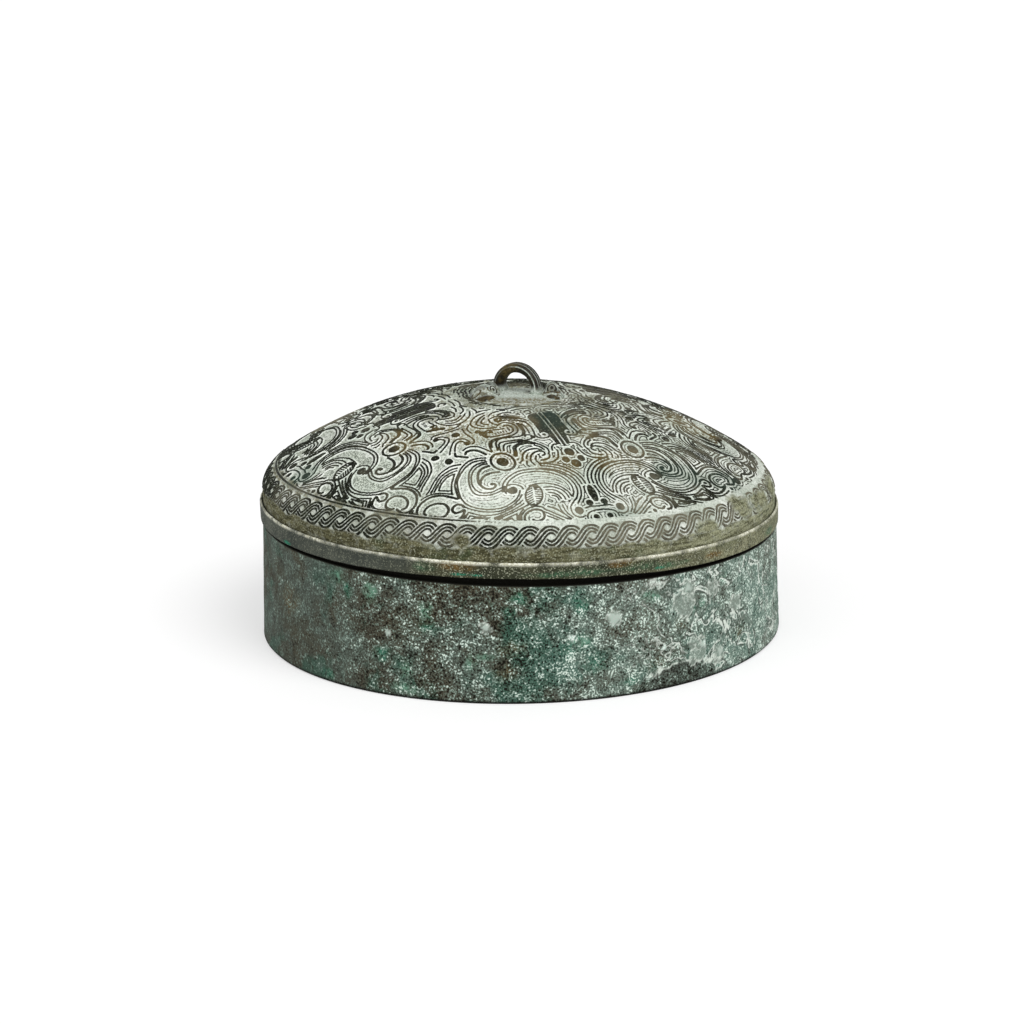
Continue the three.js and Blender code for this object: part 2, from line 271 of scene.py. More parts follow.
def stretch(value, low, high, start=0.0, end=1.0):
    return addNode("ShaderNodeMapRange", {
        "Value": value, "From Min": low, "From Max": high, "To Min": start, "To Max": end,
    }, interpolation_type="SMOOTHSTEP").outputs[0]


def times(first, second):
    return calc("MULTIPLY", first, second)


# A mix of two colours, each a hex code or a socket
def blend(share, first, second):
    first, second = (tint(colour) if isinstance(colour, str) else colour for colour in (first, second))
    return addNode("ShaderNodeMix", {0: share, 6: first, 7: second}, data_type="RGBA").outputs[2]


# A colour with another over some places, broken up by a noise
def stain(colour, other, places, speckle, low, high, start, end):
    return blend(times(places, stretch(speckle, low, high, start, end)), colour, other)


def pointValue(name):
    return addNode("ShaderNodeAttribute", attribute_name=name).outputs["Fac"]


def objectCoords():
    return addNode("ShaderNodeTexCoord").outputs["Object"]


bumpReach = 0.0003  # metres


def finishShader(colour, roughness, height, bump, specular):
    bumps = addNode("ShaderNodeBump", {"Strength": bump, "Distance": bumpReach, "Height": height})
    shader = addNode("ShaderNodeBsdfPrincipled", {
        "Base Color": colour, "Roughness": roughness, "Specular IOR Level": specular,
        "Normal": bumps.outputs[0],
    })
    addNode("ShaderNodeOutputMaterial", {"Surface": shader.outputs[0]})


# The lid's ornament: one eighth of the dome, drawn in mm with x across and y outward along a mirror line,
# then folded round the crown. Dark lines are raised and the pale ground between them lies lower.
scrolls = {
    "centre": -2.6, "axis": 20.7,  # its middle, left of the dome's, and its mirror line's bearing
    "left": -70.0, "top": 14.0, "across": 74.0, "deep": 80.0, "cell": 0.1,
    "line": 0.7, "bold": 1.0, "soft": 0.16, "dotEdge": 0.25, "margin": 0.4, "patch": 0.92,
    "slip": (-2.4, -4.2), "slipFrom": 42.0, "slipTo": 70.0, "slipTurn": 18.0,  # of the left stamp
    "slipLoss": (30.0, 45.0, 0.45),  # the slip is less towards the far mirror line
    "seam": (-24.3, 1.5),  # bearing of the mirror line between left and centre, and its bend outward
}
# Lines near the mirror line through the handle's front
scrollLines = {
    "barBand": [
        [(-14.7, 29.9), (-12.5, 30.1), (-10.2, 31.2), (-8.5, 32.6), (-7.2, 34.5), (-6.7, 36.8),
         (-6.8, 39), (-7.1, 41.2), (-7.4, 43.4), (-6.9, 45.1), (-5.6, 45.8), (-4, 45.6), (-2.9, 44.8)],
        [(-17.2, 26.7), (-15.4, 26), (-13.2, 26.4), (-11.2, 27.4), (-9.2, 28.7), (-7.4, 30.6), (-6, 33)],
        [(-17.9, 26.9), (-18.1, 29.1), (-17.6, 31), (-16.9, 31.9)],
        [(-4.7, 25.9), (-4.1, 25), (-3, 25), (-2.5, 26.1), (-3.1, 27.3), (-4.6, 27.8)],
        [(-5.3, 53.6), (-4.7, 51.6), (-3.6, 50.4), (-2.4, 50.5)],
        [(-9, 34.6), (-8.5, 37), (-8.6, 39.6), (-8.8, 41.4)],
        [(-2.2, 21), (-6, 20.7), (-9.6, 21.4), (-12.4, 20.4)],
        [(-1.4, 23), (-5, 22.8), (-8.4, 23.2)]],
    "waveScroll": [
        [(-17, 32.8), (-15.8, 31.8), (-14.2, 31.5), (-12.4, 32.7), (-11.4, 34.7), (-11.4, 37),
         (-12.1, 39), (-13.7, 40.4), (-16, 41), (-20.6, 41), (-22.7, 41.5), (-23.7, 42.7), (-24.3, 44.7),
         (-24.5, 47.4)],
        [(-15.3, 33.9), (-14.4, 33.4), (-13.3, 34.2), (-12.9, 35.6), (-13, 37.3), (-13.9, 38.7),
         (-15.8, 39.4), (-20, 39.3), (-22.2, 38.8), (-23, 37.4), (-22.6, 35.4), (-21, 34.5),
         (-20.1, 35.2), (-20.5, 36.2)],
        [(-19.2, 35), (-17.2, 35.5), (-15.6, 35.4)]],
    "crownArc": [
        [(-17.2, 21.1), (-19.9, 22), (-21.9, 23.4), (-23.5, 25.2), (-24.5, 27.2), (-24.5, 29),
         (-23.6, 31), (-22, 32.3), (-20, 33.3), (-17.6, 33.7)],
        [(-17.9, 23), (-19.8, 24.3), (-21.6, 26.2), (-22.7, 28), (-22.6, 29.6), (-21.2, 31.2)],
        [(-18.6, 24.9), (-20.2, 26.6), (-21, 28.2), (-20.6, 29.6), (-19.4, 30.6)],
        [(-10.4, 22.2), (-13, 22), (-15.4, 22.8), (-17, 24.4)],
        [(-9, 24.6), (-11.6, 24.1), (-14, 24.8)],
        [(-14.6, 19.4), (-18, 19), (-21.4, 20.4), (-24.2, 22.8), (-26.2, 25.6)],
        [(-16, 17), (-19.4, 17), (-22.8, 18.8)]],
    "eyeSpiral": [
        [(-18.4, 57.3), (-17, 56.2), (-16.4, 54.6), (-15.6, 53.1), (-14.2, 51.8), (-12.1, 51.2),
         (-10, 51.6), (-8.9, 52.8)],
        [(-14, 60), (-14.5, 58), (-14, 56), (-13, 54.3), (-11.5, 53.3), (-9.8, 53.1), (-8.5, 54),
         (-8.6, 55.2), (-9.6, 55.7)],
        [(-12.1, 60.6), (-12.6, 58.5), (-12.6, 56.9), (-11.8, 55.4)],
        [(-11.1, 58.2), (-9.6, 58.1), (-8, 57.5), (-7.2, 56.1)],
        [(-11.8, 59.8), (-9.8, 60), (-7.3, 59.7), (-5.2, 58.3), (-4.2, 56.3), (-3.7, 54.2), (-4, 52.4)],
        [(-16, 60.2), (-16.4, 58.8), (-15.8, 57.2)],
        [(-11, 43), (-10.3, 42.3), (-9.2, 42.5), (-8.7, 43.6), (-9.4, 44.9), (-11.4, 45.4), (-14.5, 45.3)],
        [(-9.8, 47.8), (-8, 49.6), (-6.8, 51.6), (-6.6, 53.6), (-7.3, 55.4)],
        [(-10.1, 49.3), (-8.6, 50.8), (-7.9, 52.6)]],
    "hook": [
        [(-6.2, 78.7), (-8.2, 80.5), (-9.7, 82.2), (-10.2, 84.5), (-9.5, 86.5), (-7.7, 87.4), (-6.2, 87)],
        [(-3.2, 73), (-3.6, 75.8), (-4.7, 78.6), (-6.8, 81.3)]],
    "nest": [
        [(-14, 75.9), (-12.9, 76.6), (-12.5, 77.7), (-12.6, 78.5)],
        [(-14.8, 74.2), (-13.1, 75), (-11.9, 76.4), (-11.5, 78)],
        [(-15.1, 72.8), (-12.6, 73.6), (-11, 75.3), (-10.3, 77.2), (-10.2, 78.7)],
        [(-15.4, 71.5), (-12.3, 72.2), (-10.1, 74), (-9.1, 76), (-8.8, 78.2)],
        [(-19.8, 69.3), (-16.8, 69.3), (-13.8, 69.9), (-11, 71.4), (-9.2, 73.4), (-8, 75.7), (-7.7, 77.6)]],
    "footLines": [
        [(-18.9, 81), (-17.2, 82.6), (-15.4, 84.5), (-13.6, 86.2), (-11.8, 87.7)],
        [(-20, 81.5), (-18, 83.4), (-16, 85.4), (-14, 87.4), (-12, 88.8), (-10, 89.1), (-8.2, 88.6)],
        [(-18.9, 84.2), (-17, 85.8), (-15, 87.8), (-12.6, 89.8), (-9.8, 90.4), (-7.4, 89.6), (-6.6, 88.2)],
        [(-17.2, 80.2), (-15.6, 81.6), (-14.2, 83.2), (-12.9, 84.9)],
        [(-15.8, 81), (-14.4, 82.6)],
        [(-13.5, 80.3), (-13.5, 82.6), (-12.9, 84.9), (-11.4, 87.3)],
        [(-12.2, 80.8), (-12.2, 83.2), (-11.6, 85.2), (-10.6, 86.8)]],
    "cloud": [
        [(-5.7, 89.4), (-5.5, 87.3), (-4.7, 86.1), (-3, 85.4), (-1, 85.1), (0.5, 85.1)],
        [(-5, 83.7), (-2.8, 83.3), (0.5, 83.6)]],
}
# Lines of the great whirl and of what surrounds it, as the left stamp has them; the bold ones are wider
whirlLines = {
    "outerPair": [
        [(-29.3, 47.8), (-31.5, 46.9), (-33.5, 46.4), (-35.5, 46.4), (-37.5, 47), (-39.3, 47.9),
         (-41, 49.3), (-42.6, 51), (-43.9, 52.8), (-44.9, 54.8), (-45.4, 57), (-45.8, 59.2), (-46, 61.2)],
        [(-30, 48.6), (-32.3, 47.9), (-34.3, 47.5), (-36.3, 47.8), (-38, 48.4), (-39.8, 49.5),
         (-41.7, 51), (-43.2, 52.9), (-44.1, 55.2), (-44.7, 57.6), (-45.2, 60.2), (-45.2, 62),
         (-44.8, 64.2), (-43.6, 66.5), (-41.6, 68.6), (-39, 70.3), (-36.1, 71.3), (-33.5, 71.5),
         (-31.6, 71.1), (-29.6, 70.3), (-28, 69.2), (-26.7, 67.7), (-25.9, 66.3)]],
    "middlePair": [
        [(-30.1, 49.5), (-32.3, 49.1), (-34.3, 49.1), (-36, 49.7), (-37.8, 51), (-39, 52.8), (-39.9, 55),
         (-40.5, 57.5), (-40.7, 60), (-40.2, 62), (-38.7, 63.4), (-36.6, 64.3), (-34.5, 64.6),
         (-32.4, 64.3), (-31.2, 63.9)],
        [(-30.5, 50.4), (-32.5, 50), (-34.5, 50.3), (-36.3, 51.1), (-37.8, 52.6), (-38.8, 54.6),
         (-39.5, 56.8), (-39.5, 59.5), (-38.6, 61.8), (-36.6, 63.1), (-34.5, 63.5), (-32.4, 63.1),
         (-30, 62.6)]],
    "underPair": [
        [(-45.8, 65.5), (-44, 67.8), (-41.9, 69.7), (-39.8, 71.1), (-37.7, 72.1), (-35.3, 72.6),
         (-32.9, 72.4), (-30, 71.5), (-27.6, 70), (-26, 68.4)],
        [(-45.4, 68.5), (-43.6, 70.4), (-41.7, 72), (-39.4, 73), (-36.9, 73.5), (-34.5, 73.5),
         (-31.9, 73), (-29.3, 72.2), (-26.8, 71)],
        [(-45.5, 70.2), (-43.5, 71.8), (-41.6, 73.1), (-39.8, 74)],
        [(-38.4, 74.6), (-35, 74.5), (-32.4, 74.1), (-29.5, 73.4), (-27, 72.5)],
        [(-38.5, 75.1), (-34.5, 75.3), (-30.8, 74.7), (-28, 74), (-25.5, 73.4)]],
    "chevron": [
        [(-45.4, 68.5), (-47, 70), (-48.5, 71.1), (-49.8, 72)],
        [(-45.5, 70.2), (-46.8, 71.1), (-48.3, 72.2), (-48.4, 72.7), (-47, 73.5), (-45.3, 74.3),
         (-43.3, 74.8), (-40, 75)],
        [(-45.4, 71.6), (-46.9, 72.6), (-45.5, 73.4), (-43.8, 74), (-41, 74.3)],
        [(-45.4, 71.6), (-44.3, 72.1), (-42, 73.2)],
        [(-43.8, 75.9), (-41.5, 76.2), (-38.5, 76), (-36, 75.8)],
        [(-30.8, 75.9), (-34.5, 76.5), (-37, 76.8), (-39.7, 77.1), (-38, 78.2), (-35.5, 79.2), (-32, 79.7)],
        [(-30.9, 75.9), (-31.4, 78), (-32, 79.7)],
        [(-33, 77.1), (-35, 77.3), (-37.2, 77.5), (-34.5, 78.2), (-32.4, 78.5)],
        [(-29.6, 76.8), (-30.4, 78.6), (-30.8, 80.8)],
        [(-33, 77.4), (-32.6, 78.4)]],
    "fan": [
        [(-38.5, 46.2), (-41.6, 45.3), (-44, 45.4), (-46.6, 46.2), (-48.5, 47.4), (-50.3, 49),
         (-51.9, 50.7), (-53.5, 52.3), (-54.8, 53.2)],
        [(-40.4, 47.1), (-42.9, 46.7), (-45, 47), (-46.9, 47.6), (-48.5, 48.7), (-50, 50.2),
         (-51.6, 51.9), (-53.2, 53.4)],
        [(-41.3, 48.1), (-43.5, 48), (-45.6, 48.3), (-47.2, 49), (-48.7, 50.3), (-50.3, 51.9), (-52, 53.6)],
        [(-42.6, 49.2), (-44.5, 49.1), (-46.1, 49.6), (-47.9, 50.9), (-49.3, 52.3), (-50.4, 53.8)],
        [(-42.6, 49.2), (-44, 51), (-45.2, 52.8), (-46.1, 54.7), (-46.7, 56.4), (-47.1, 57.6)],
        [(-50.4, 53.8), (-49, 54.9), (-47.4, 56.1)]],
    "heart": [
        [(-57.2, 54.4), (-55.1, 54.1), (-52.9, 54.3), (-50.8, 55.2), (-49, 56.5), (-47, 58.2)],
        [(-56.9, 66.8), (-55.3, 68.4), (-53.7, 69.7), (-51.9, 70.6), (-49.8, 70.9), (-48.2, 70.3),
         (-46.6, 69.2)],
        [(-58.7, 68.6), (-56.6, 69.2), (-55.3, 70.2), (-53.5, 71.4), (-51.4, 71.9), (-49.8, 72)]],
    "footSpiral": [
        [(-30.5, 81), (-30.3, 79), (-29.6, 77.3), (-28, 75.8), (-26.2, 75), (-24.2, 74.8), (-22.3, 75.2),
         (-21, 76.1), (-20.2, 77.6)],
        [(-31.5, 80), (-30.8, 77.8), (-29.6, 76), (-28, 74.8)]],
    "ringRays": [
        [(-12.8, 44.3), (-15.3, 43.9), (-17.8, 43.5), (-20, 43.3), (-21.3, 43.9), (-22.2, 45.5),
         (-22.7, 47)],
        [(-11.8, 42.2), (-14, 42.2), (-16.5, 41.7), (-19, 41.3), (-20.7, 41.7), (-22, 43), (-22.8, 44.8),
         (-23.4, 46.4)],
        [(-10.5, 46.5), (-12.3, 45.5), (-14.8, 45.1), (-17.5, 44.7), (-19.5, 44.7), (-20.7, 45.7),
         (-21.6, 47.4)],
        [(-34, 40.8), (-32.3, 40.4), (-30.3, 40.7), (-28.5, 41.8), (-27.3, 43.5), (-26.5, 45),
         (-25.9, 46.2)]],
    "sideCurl": [
        [(-28.2, 29), (-28.4, 32.5), (-28, 35), (-27.6, 37.2), (-28, 38.8), (-29.3, 39.6)],
        [(-25.4, 27.6), (-26.6, 29.4), (-26.9, 31.4), (-26.5, 33.5)],
        [(-29.8, 27.6), (-30.2, 29.4)]],
    "tongue": [
        [(-39, 40), (-38.5, 39.2), (-37, 37.5), (-35.5, 36), (-34, 34.9), (-32.5, 34.4), (-31, 35),
         (-29.9, 36.3), (-29.5, 37.8), (-29.9, 38.8)],
        [(-36.6, 39.6), (-35.3, 37.8), (-34, 36.5), (-32.5, 36), (-31.4, 36.8), (-31, 38)]],
    "headHook": [
        [(-30.7, 65.9), (-30.8, 64.8), (-30.3, 63.4), (-29, 62.7), (-27.7, 62.5), (-26.3, 63.2),
         (-24.9, 64.5), (-24.6, 65.9)]],
}
boldLines = {
    "whirlTail": [
        [(-30.5, 51.6), (-33, 51.6), (-34.8, 52.4), (-36, 53.8), (-36.9, 55.8), (-37.2, 57.8),
         (-36.8, 59.8), (-35.8, 61.4), (-34, 62), (-32.7, 61.3), (-32.6, 60.2), (-33.5, 59.8)],
        [(-28.8, 55.5), (-30.5, 55), (-32.5, 54.8), (-34.5, 55.2), (-36, 56.4), (-36.9, 58)]],
    "heart": [
        [(-57.2, 63.4), (-58.5, 63.1), (-60.1, 62.6), (-60.9, 61.5), (-61, 60), (-60.4, 58.4),
         (-59.3, 57), (-57.4, 55.9), (-55.3, 55.3), (-52.9, 55.5), (-50.8, 56.5), (-49, 58.1),
         (-47.6, 59.7), (-46.5, 61)],
        [(-58.5, 61.9), (-58.7, 60.7), (-57.9, 59.6), (-56.4, 58.9), (-54.5, 58.9), (-52.7, 59.6),
         (-51.2, 61), (-50.7, 62.8), (-51.1, 64.4), (-52.2, 65.5), (-53.5, 66), (-54.8, 65.6),
         (-55.8, 64.9), (-56.1, 64.2)],
        [(-56, 65), (-54.8, 66.8), (-53.5, 68.1), (-51.9, 69.2), (-50, 69.7), (-48.5, 69.4),
         (-47.2, 68.4), (-46.3, 67.2), (-46.6, 66.7), (-47.9, 66.9), (-49.3, 66.7), (-49.9, 65.5),
         (-49.7, 64.4), (-48.5, 63.5), (-47.2, 63.5), (-46.2, 64.4), (-45.8, 65.5)]],
    "footSpiral": [
        [(-27.3, 81.3), (-28.7, 80.7), (-29.2, 79.5), (-28.7, 78), (-27.5, 76.8), (-25.5, 76.1),
         (-23.5, 76.3), (-22, 77.3), (-21.6, 78.8), (-22.2, 80.2), (-23.7, 81.1), (-25.5, 81),
         (-26.4, 80.1)]],
    "tongue": [
        [(-37.2, 40.6), (-37.7, 42), (-36.5, 43), (-35.3, 44), (-34.6, 44.6)],
        [(-34.3, 42.8), (-33.3, 42.1), (-31.5, 42.3), (-30, 43.3), (-28.8, 45), (-28.2, 46.4)]],
}
# Bundles of lines side by side: how many, how far apart, and the middle of the bundle
scrollBundles = {
    "crest": (3, 1.35, [
        (-12.4, 60.9), (-9.3, 62.2), (-6.4, 64), (-4.4, 66.2), (-3, 68.4), (-2.3, 70.6), (-2.1, 72.8)]),
    "rightWhirl": (2, 1.35, [
        (-28.4, 69.2), (-27.6, 66.8), (-26, 64.7), (-23.4, 63), (-20.2, 62), (-16.5, 62.3), (-12.8, 63.4),
        (-9.6, 65.1), (-7.2, 67.4), (-5.8, 70.1), (-5.2, 73), (-5.6, 75.9), (-6.7, 78.2)]),
}
# Broad flat bands: height, width and middle line
scrollBands = [
    (0.85, 2.0, [(-14, 27.9), (-12.2, 28), (-10, 29.1), (-8.2, 30.8), (-7, 32.8)]),
    (0.7, 1.5, [(-10.1, 33.8), (-9.9, 36.4), (-10.1, 39.4), (-11, 41.6)]),
    (0.9, 1.6, [(-22.9, 38.4), (-23.3, 37), (-22.6, 35.3)]),
    (0.8, 1.4, [(-20.4, 41.2), (-22.4, 41.8), (-23.4, 43.2), (-23.9, 45)]),
    (0.85, 1.5, [(-9.6, 48), (-12, 47), (-14.6, 47), (-16.8, 48.4), (-17.4, 50.6), (-18.2, 53)]),
]
scrollPatch = [
    (1.2, 27.2), (-2.4, 28), (-4.6, 29), (-5.3, 31.6), (-5, 35), (-5.1, 39), (-5.3, 42.4), (-4.3, 41.9),
    (-3.2, 42.6), (-2.9, 44.8), (-2.6, 48), (-1.9, 51.6), (1.2, 52),
]
# Round knobs: place and radius, near the mirror line and in the left stamp
scrollDots = [
    (0, 55.6, 1.75), (0, 62.1, 1.75), (-2.75, 59.6, 1.38), (-2.65, 81.6, 1.35), (-2.5, 88, 1.15),
    (-7.5, 84.4, 1.75), (-15.6, 28.9, 1.7), (-24.4, 33.7, 1.1), (-20.6, 36, 0.9), (-17.6, 88, 1.15),
    (-8.6, 44.1, 0.9), (-4.4, 43.5, 0.7),
]
whirlDots = [
    (-25.2, 51.8, 2.05), (-28.3, 65.3, 1.9), (-31.6, 31.6, 1.5), (-41.2, 42.7, 1.5), (-58.5, 65.3, 0.8),
    (-62.8, 59.6, 1.6), (-21.6, 82.2, 0.9), (-23.2, 35.8, 1.5), (-30.7, 38.4, 1.1), (-33.4, 59.9, 0.8),
]
whirlRing = {"place": (-25.1, 51.8), "radius": 4.0, "width": 0.95}
scrollGrooves = [
    (0.5, [(-0.75, 24.8), (-0.75, 38), (-0.75, 51.2)]),
    (0.5, [(-0.8, 51.4), (-2.3, 51), (-3.3, 51.7), (-3.7, 53.2)]),
    (0.5, [(-8.8, 30.8), (-7.1, 32.2), (-6, 34.2), (-5.7, 37), (-5.9, 40.4), (-6.3, 43), (-5.9, 44.4),
           (-4.8, 44.8), (-3.7, 44.4), (-3.4, 43.4), (-4, 42.6)]),
    (0.45, [(-16.4, 30.2), (-17, 29.1), (-16.6, 27.7)]),
    (0.45, [(-15.3, 29.2), (-14.6, 28.1)]),
]
headGroove = (0.45, [(-29.4, 63.9), (-28.2, 63.5), (-27, 63.4), (-25.8, 64.2), (-25.6, 65.4)])
scrollPetal = {"middle": 77.5, "half": (1.45, 4.0)}
whirlLeaf = {
    "place": (-22, 69.9), "half": (3.3, 4.4), "lean": 0.28, "pitch": 1.0, "droop": 0.3,
    "ribEdge": (0.4, 0.18), "spine": 0.32, "ribsTo": 0.98, "clearTo": 1.1,
    "blob": (-20.2, 66.6), "blobRadius": 0.9,
}
scrollDashes = {
    "from": -19.4, "to": -14.9, "y": 37.5, "pitch": 0.95, "length": 1.1, "width": 0.52, "level": 0.85,
    "points": 14,
}


farOff = 9.0  # mm, further than any line reaches


# A smooth line through the given points, in short steps
def smoothLine(points, step=0.08):
    knots = np.array(points, float)
    knots = np.vstack([2 * knots[0] - knots[1], knots, 2 * knots[-1] - knots[-2]])
    parts = []
    for a, b, c, d in zip(knots, knots[1:], knots[2:], knots[3:]):
        t = np.linspace(0, 1, max(3, int(math.dist(b, c) / step)), endpoint=False)[:, None]
        parts.append(b + 0.5 * t * (c - a + t * (2 * a - 5 * b + 4 * c - d + t * (3 * b - a - 3 * c + d))))
    return np.vstack(parts + [knots[-2:-1]])


def beside(line, offset):
    along = np.gradient(line, axis=0)
    along /= np.linalg.norm(along, axis=1)[:, None]
    return line + offset * np.stack([-along[:, 1], along[:, 0]], -1)


# Places of the front stamp carried to where the left stamp has them
def slipped(x, y, share=1.0):
    reach = fade(scrolls["slipFrom"], scrolls["slipTo"], np.hypot(x, y)) * share
    turn = fade(0, scrolls["slipTurn"], np.degrees(np.arctan2(-x, y)))
    return x + scrolls["slip"][0] * reach * turn, y + scrolls["slip"][1] * reach


def slippedLine(line):
    return np.stack(slipped(line[:, 0], line[:, 1]), -1)


def drawScrolls():
    cell, line, soft = scrolls["cell"], scrolls["line"], scrolls["soft"]
    columns, rows = int(scrolls["across"] / cell), int(scrolls["deep"] / cell)
    gridX = scrolls["left"] + cell * np.arange(columns)[None, :]
    gridY = scrolls["top"] + cell * np.arange(rows)[:, None]
    field = np.zeros((rows, columns))

    # Distance of each cell near some lines to the nearest of them
    def nearness(lines, width):
        gap = np.full((rows, columns), farOff)
        span = int((width / 2 + scrolls["margin"]) / cell) + 1
        for x, y in np.vstack(lines):
            c, r = round((x - scrolls["left"]) / cell), round((y - scrolls["top"]) / cell)
            if -span < c < columns + span and -span < r < rows + span:
                r0, r1 = max(r - span, 0), min(r + span + 1, rows)
                c0, c1 = max(c - span, 0), min(c + span + 1, columns)
                window = gap[r0:r1, c0:c1]
                np.minimum(window, np.hypot(gridX[:, c0:c1] - x, gridY[r0:r1] - y), out=window)
        return gap

    def raiseTo(gap, half, level=1.0, edge=soft):
        np.maximum(field, level * fade(half + edge, half - edge, gap), out=field)

    def raiseLines(lines, width, level=1.0):
        raiseTo(nearness(lines, width), width / 2, level)

    for level, width, points in scrollBands:
        raiseLines([slippedLine(smoothLine(points))], width, level)
    inside = np.zeros((rows, columns), bool)
    corners = slippedLine(smoothLine(scrollPatch, 0.5))
    for (ax, ay), (bx, by) in zip(corners, np.roll(corners, -1, 0)):
        if ay != by:
            inside ^= ((ay > gridY) != (by > gridY)) & (gridX < (bx - ax) * (gridY - ay) / (by - ay) + ax)
    field[inside] = scrolls["patch"]
    front = [slippedLine(smoothLine(points)) for group in scrollLines.values() for points in group]
    left = [smoothLine(points) for group in whirlLines.values() for points in group]
    bold = [smoothLine(points) for group in boldLines.values() for points in group]
    for count, pitch, points in scrollBundles.values():
        offsets = [(i - (count - 1) / 2) * pitch for i in range(count)]
        front += [slippedLine(beside(smoothLine(points), offset)) for offset in offsets]
    raiseLines(front + left, line)
    raiseLines(bold, scrolls["bold"])

    # Leaf with a spine and slanting ribs
    leafX, leafY = gridX - whirlLeaf["place"][0], gridY - whirlLeaf["place"][1]
    offSpine = leafX + whirlLeaf["lean"] * leafY
    reach = np.hypot(offSpine / whirlLeaf["half"][0], leafY / whirlLeaf["half"][1])
    ribPart = (leafY - whirlLeaf["droop"] * np.abs(offSpine)) / whirlLeaf["pitch"] % 1
    ribs = fade(*whirlLeaf["ribEdge"], np.abs(ribPart - 0.5) * whirlLeaf["pitch"])
    ribs *= (np.abs(offSpine) > whirlLeaf["spine"]) & (reach < whirlLeaf["ribsTo"])
    field[:] = np.where(reach < whirlLeaf["clearTo"], ribs, field)
    raiseTo(np.abs(reach - 1) * whirlLeaf["half"][0], line / 2)
    blobX, blobY = whirlLeaf["blob"]
    raiseTo(np.hypot(gridX - blobX, gridY - blobY), whirlLeaf["blobRadius"])

    knobs = [(*slipped(np.float64(x), np.float64(y)), radius) for x, y, radius in scrollDots] + whirlDots
    for x, y, radius in knobs:
        raiseTo(np.hypot(gridX - x, gridY - y), radius, edge=scrolls["dotEdge"])
    ringX, ringY = whirlRing["place"]
    raiseTo(np.abs(np.hypot(gridX - ringX, gridY - ringY) - whirlRing["radius"]), whirlRing["width"] / 2)
    petalX, petalY = slipped(np.float64(0), np.float64(scrollPetal["middle"]))
    petal = np.hypot((gridX - petalX) / scrollPetal["half"][0], (gridY - petalY) / scrollPetal["half"][1])
    raiseTo(petal * scrollPetal["half"][0], scrollPetal["half"][0], edge=scrolls["dotEdge"])
    count = scrollDashes["points"]
    stroke = np.linspace(-0.5, 0.5, count) * scrollDashes["length"] + scrollDashes["y"]
    starts = np.arange(scrollDashes["from"], scrollDashes["to"], scrollDashes["pitch"])
    dashes = [np.stack([np.full(count, x), stroke], -1) for x in starts]
    raiseLines(dashes, scrollDashes["width"], scrollDashes["level"])
    grooves = [(width, slippedLine(smoothLine(points))) for width, points in scrollGrooves]
    for width, groove in grooves + [(headGroove[0], smoothLine(headGroove[1]))]:
        edge = fade(width / 2 - soft, width / 2 + soft, nearness([groove], width))
        np.minimum(field, edge, out=field)
    return field


# Row and column in the drawing for points of the unrolled dome, to the right and to the front of the crown
def scrollPlace(right, front):
    x, y = right - scrolls["centre"], front
    reach = np.hypot(x, y)
    turn = np.degrees(np.arctan2(x, y))
    seam = scrolls["seam"][0] + scrolls["seam"][1] * fade(scrolls["slipFrom"], scrolls["slipTo"], reach)
    onLeft = (turn < seam) & (turn > scrolls["axis"] - 135)
    onCentre = (turn >= seam) & (turn < scrolls["axis"])
    fold = np.abs((turn - scrolls["axis"] + 45) % 90 - 45)
    fold = np.where(onCentre, scrolls["axis"] - turn, fold)
    fold = np.where(onLeft, np.abs(turn - scrolls["axis"] + 90), fold)
    across, out = -reach * np.sin(np.radians(fold)), reach * np.cos(np.radians(fold))
    lossFrom, lossTo, loss = scrolls["slipLoss"]
    share = np.where(onCentre, 1.0, 1 - loss * fade(lossFrom, lossTo, fold)) * ~onLeft
    across, out = slipped(across, out, share)
    return (out - scrolls["top"]) / scrolls["cell"], (across - scrolls["left"]) / scrolls["cell"]


def readField(field, row, column):
    column = np.clip(column, 0, field.shape[1] - 1.001)
    row = np.clip(row, 0, field.shape[0] - 1.001)
    c, r = column.astype(int), row.astype(int)
    u, v = column - c, row - r
    upper = field[r, c] * (1 - u) + field[r, c + 1] * u
    lower = field[r + 1, c] * (1 - u) + field[r + 1, c + 1] * u
    return upper * (1 - v) + lower * v


# Distance of each cell of a drawing to its nearest raised line
def farFrom(field, reach):
    cell = scrolls["cell"]
    far = np.where(field > 0.5, 0.0, farOff)
    for step in range(round(reach / cell)):
        for down, across in ((0, 1), (1, 0), (1, 1), (1, -1)):
            way = cell * math.hypot(down, across)
            near = np.minimum(np.roll(far, (down, across), (0, 1)), np.roll(far, (-down, -across), (0, 1)))
            np.minimum(far, near + way, out=far)
    return far


# Fine lines that follow the drawn ones into the open ground
echo = {
    "first": 0.9, "pitch": 1.2, "half": 0.23, "soft": 0.14, "reach": 3.7, "outline": (0.25, 0.8),
    "outlineReach": 1.2, "empty": (2.4, 3.4),
}


def echoLines(field):
    far = farFrom(field, echo["reach"])
    off = np.abs((far - echo["first"] + echo["pitch"] / 2) % echo["pitch"] - echo["pitch"] / 2)
    lines = fade(echo["half"] + echo["soft"], echo["half"] - echo["soft"], off)
    return lines * (far > echo["first"] - echo["pitch"] / 2) * (far < echo["reach"])


scrollField = drawScrolls()
echoField = echoLines(scrollField)
emptyField = fade(*echo["empty"], farFrom(scrollField, echo["reach"]))
openField = fade(*echo["outline"], farFrom(scrollField, echo["outlineReach"]))
openEcho = fade(*echo["outline"], farFrom(np.maximum(scrollField, echoField), echo["outlineReach"]))
print("ornament drawn")

# Rope border: two strands of three lines, each rising strand passing over
rope = {
    "middle": 94.2, "swing": 2.55, "turns": 41, "pitch": 1.15, "line": 0.8, "soft": 0.16, "clear": 1.95,
    "radius": 87,
}


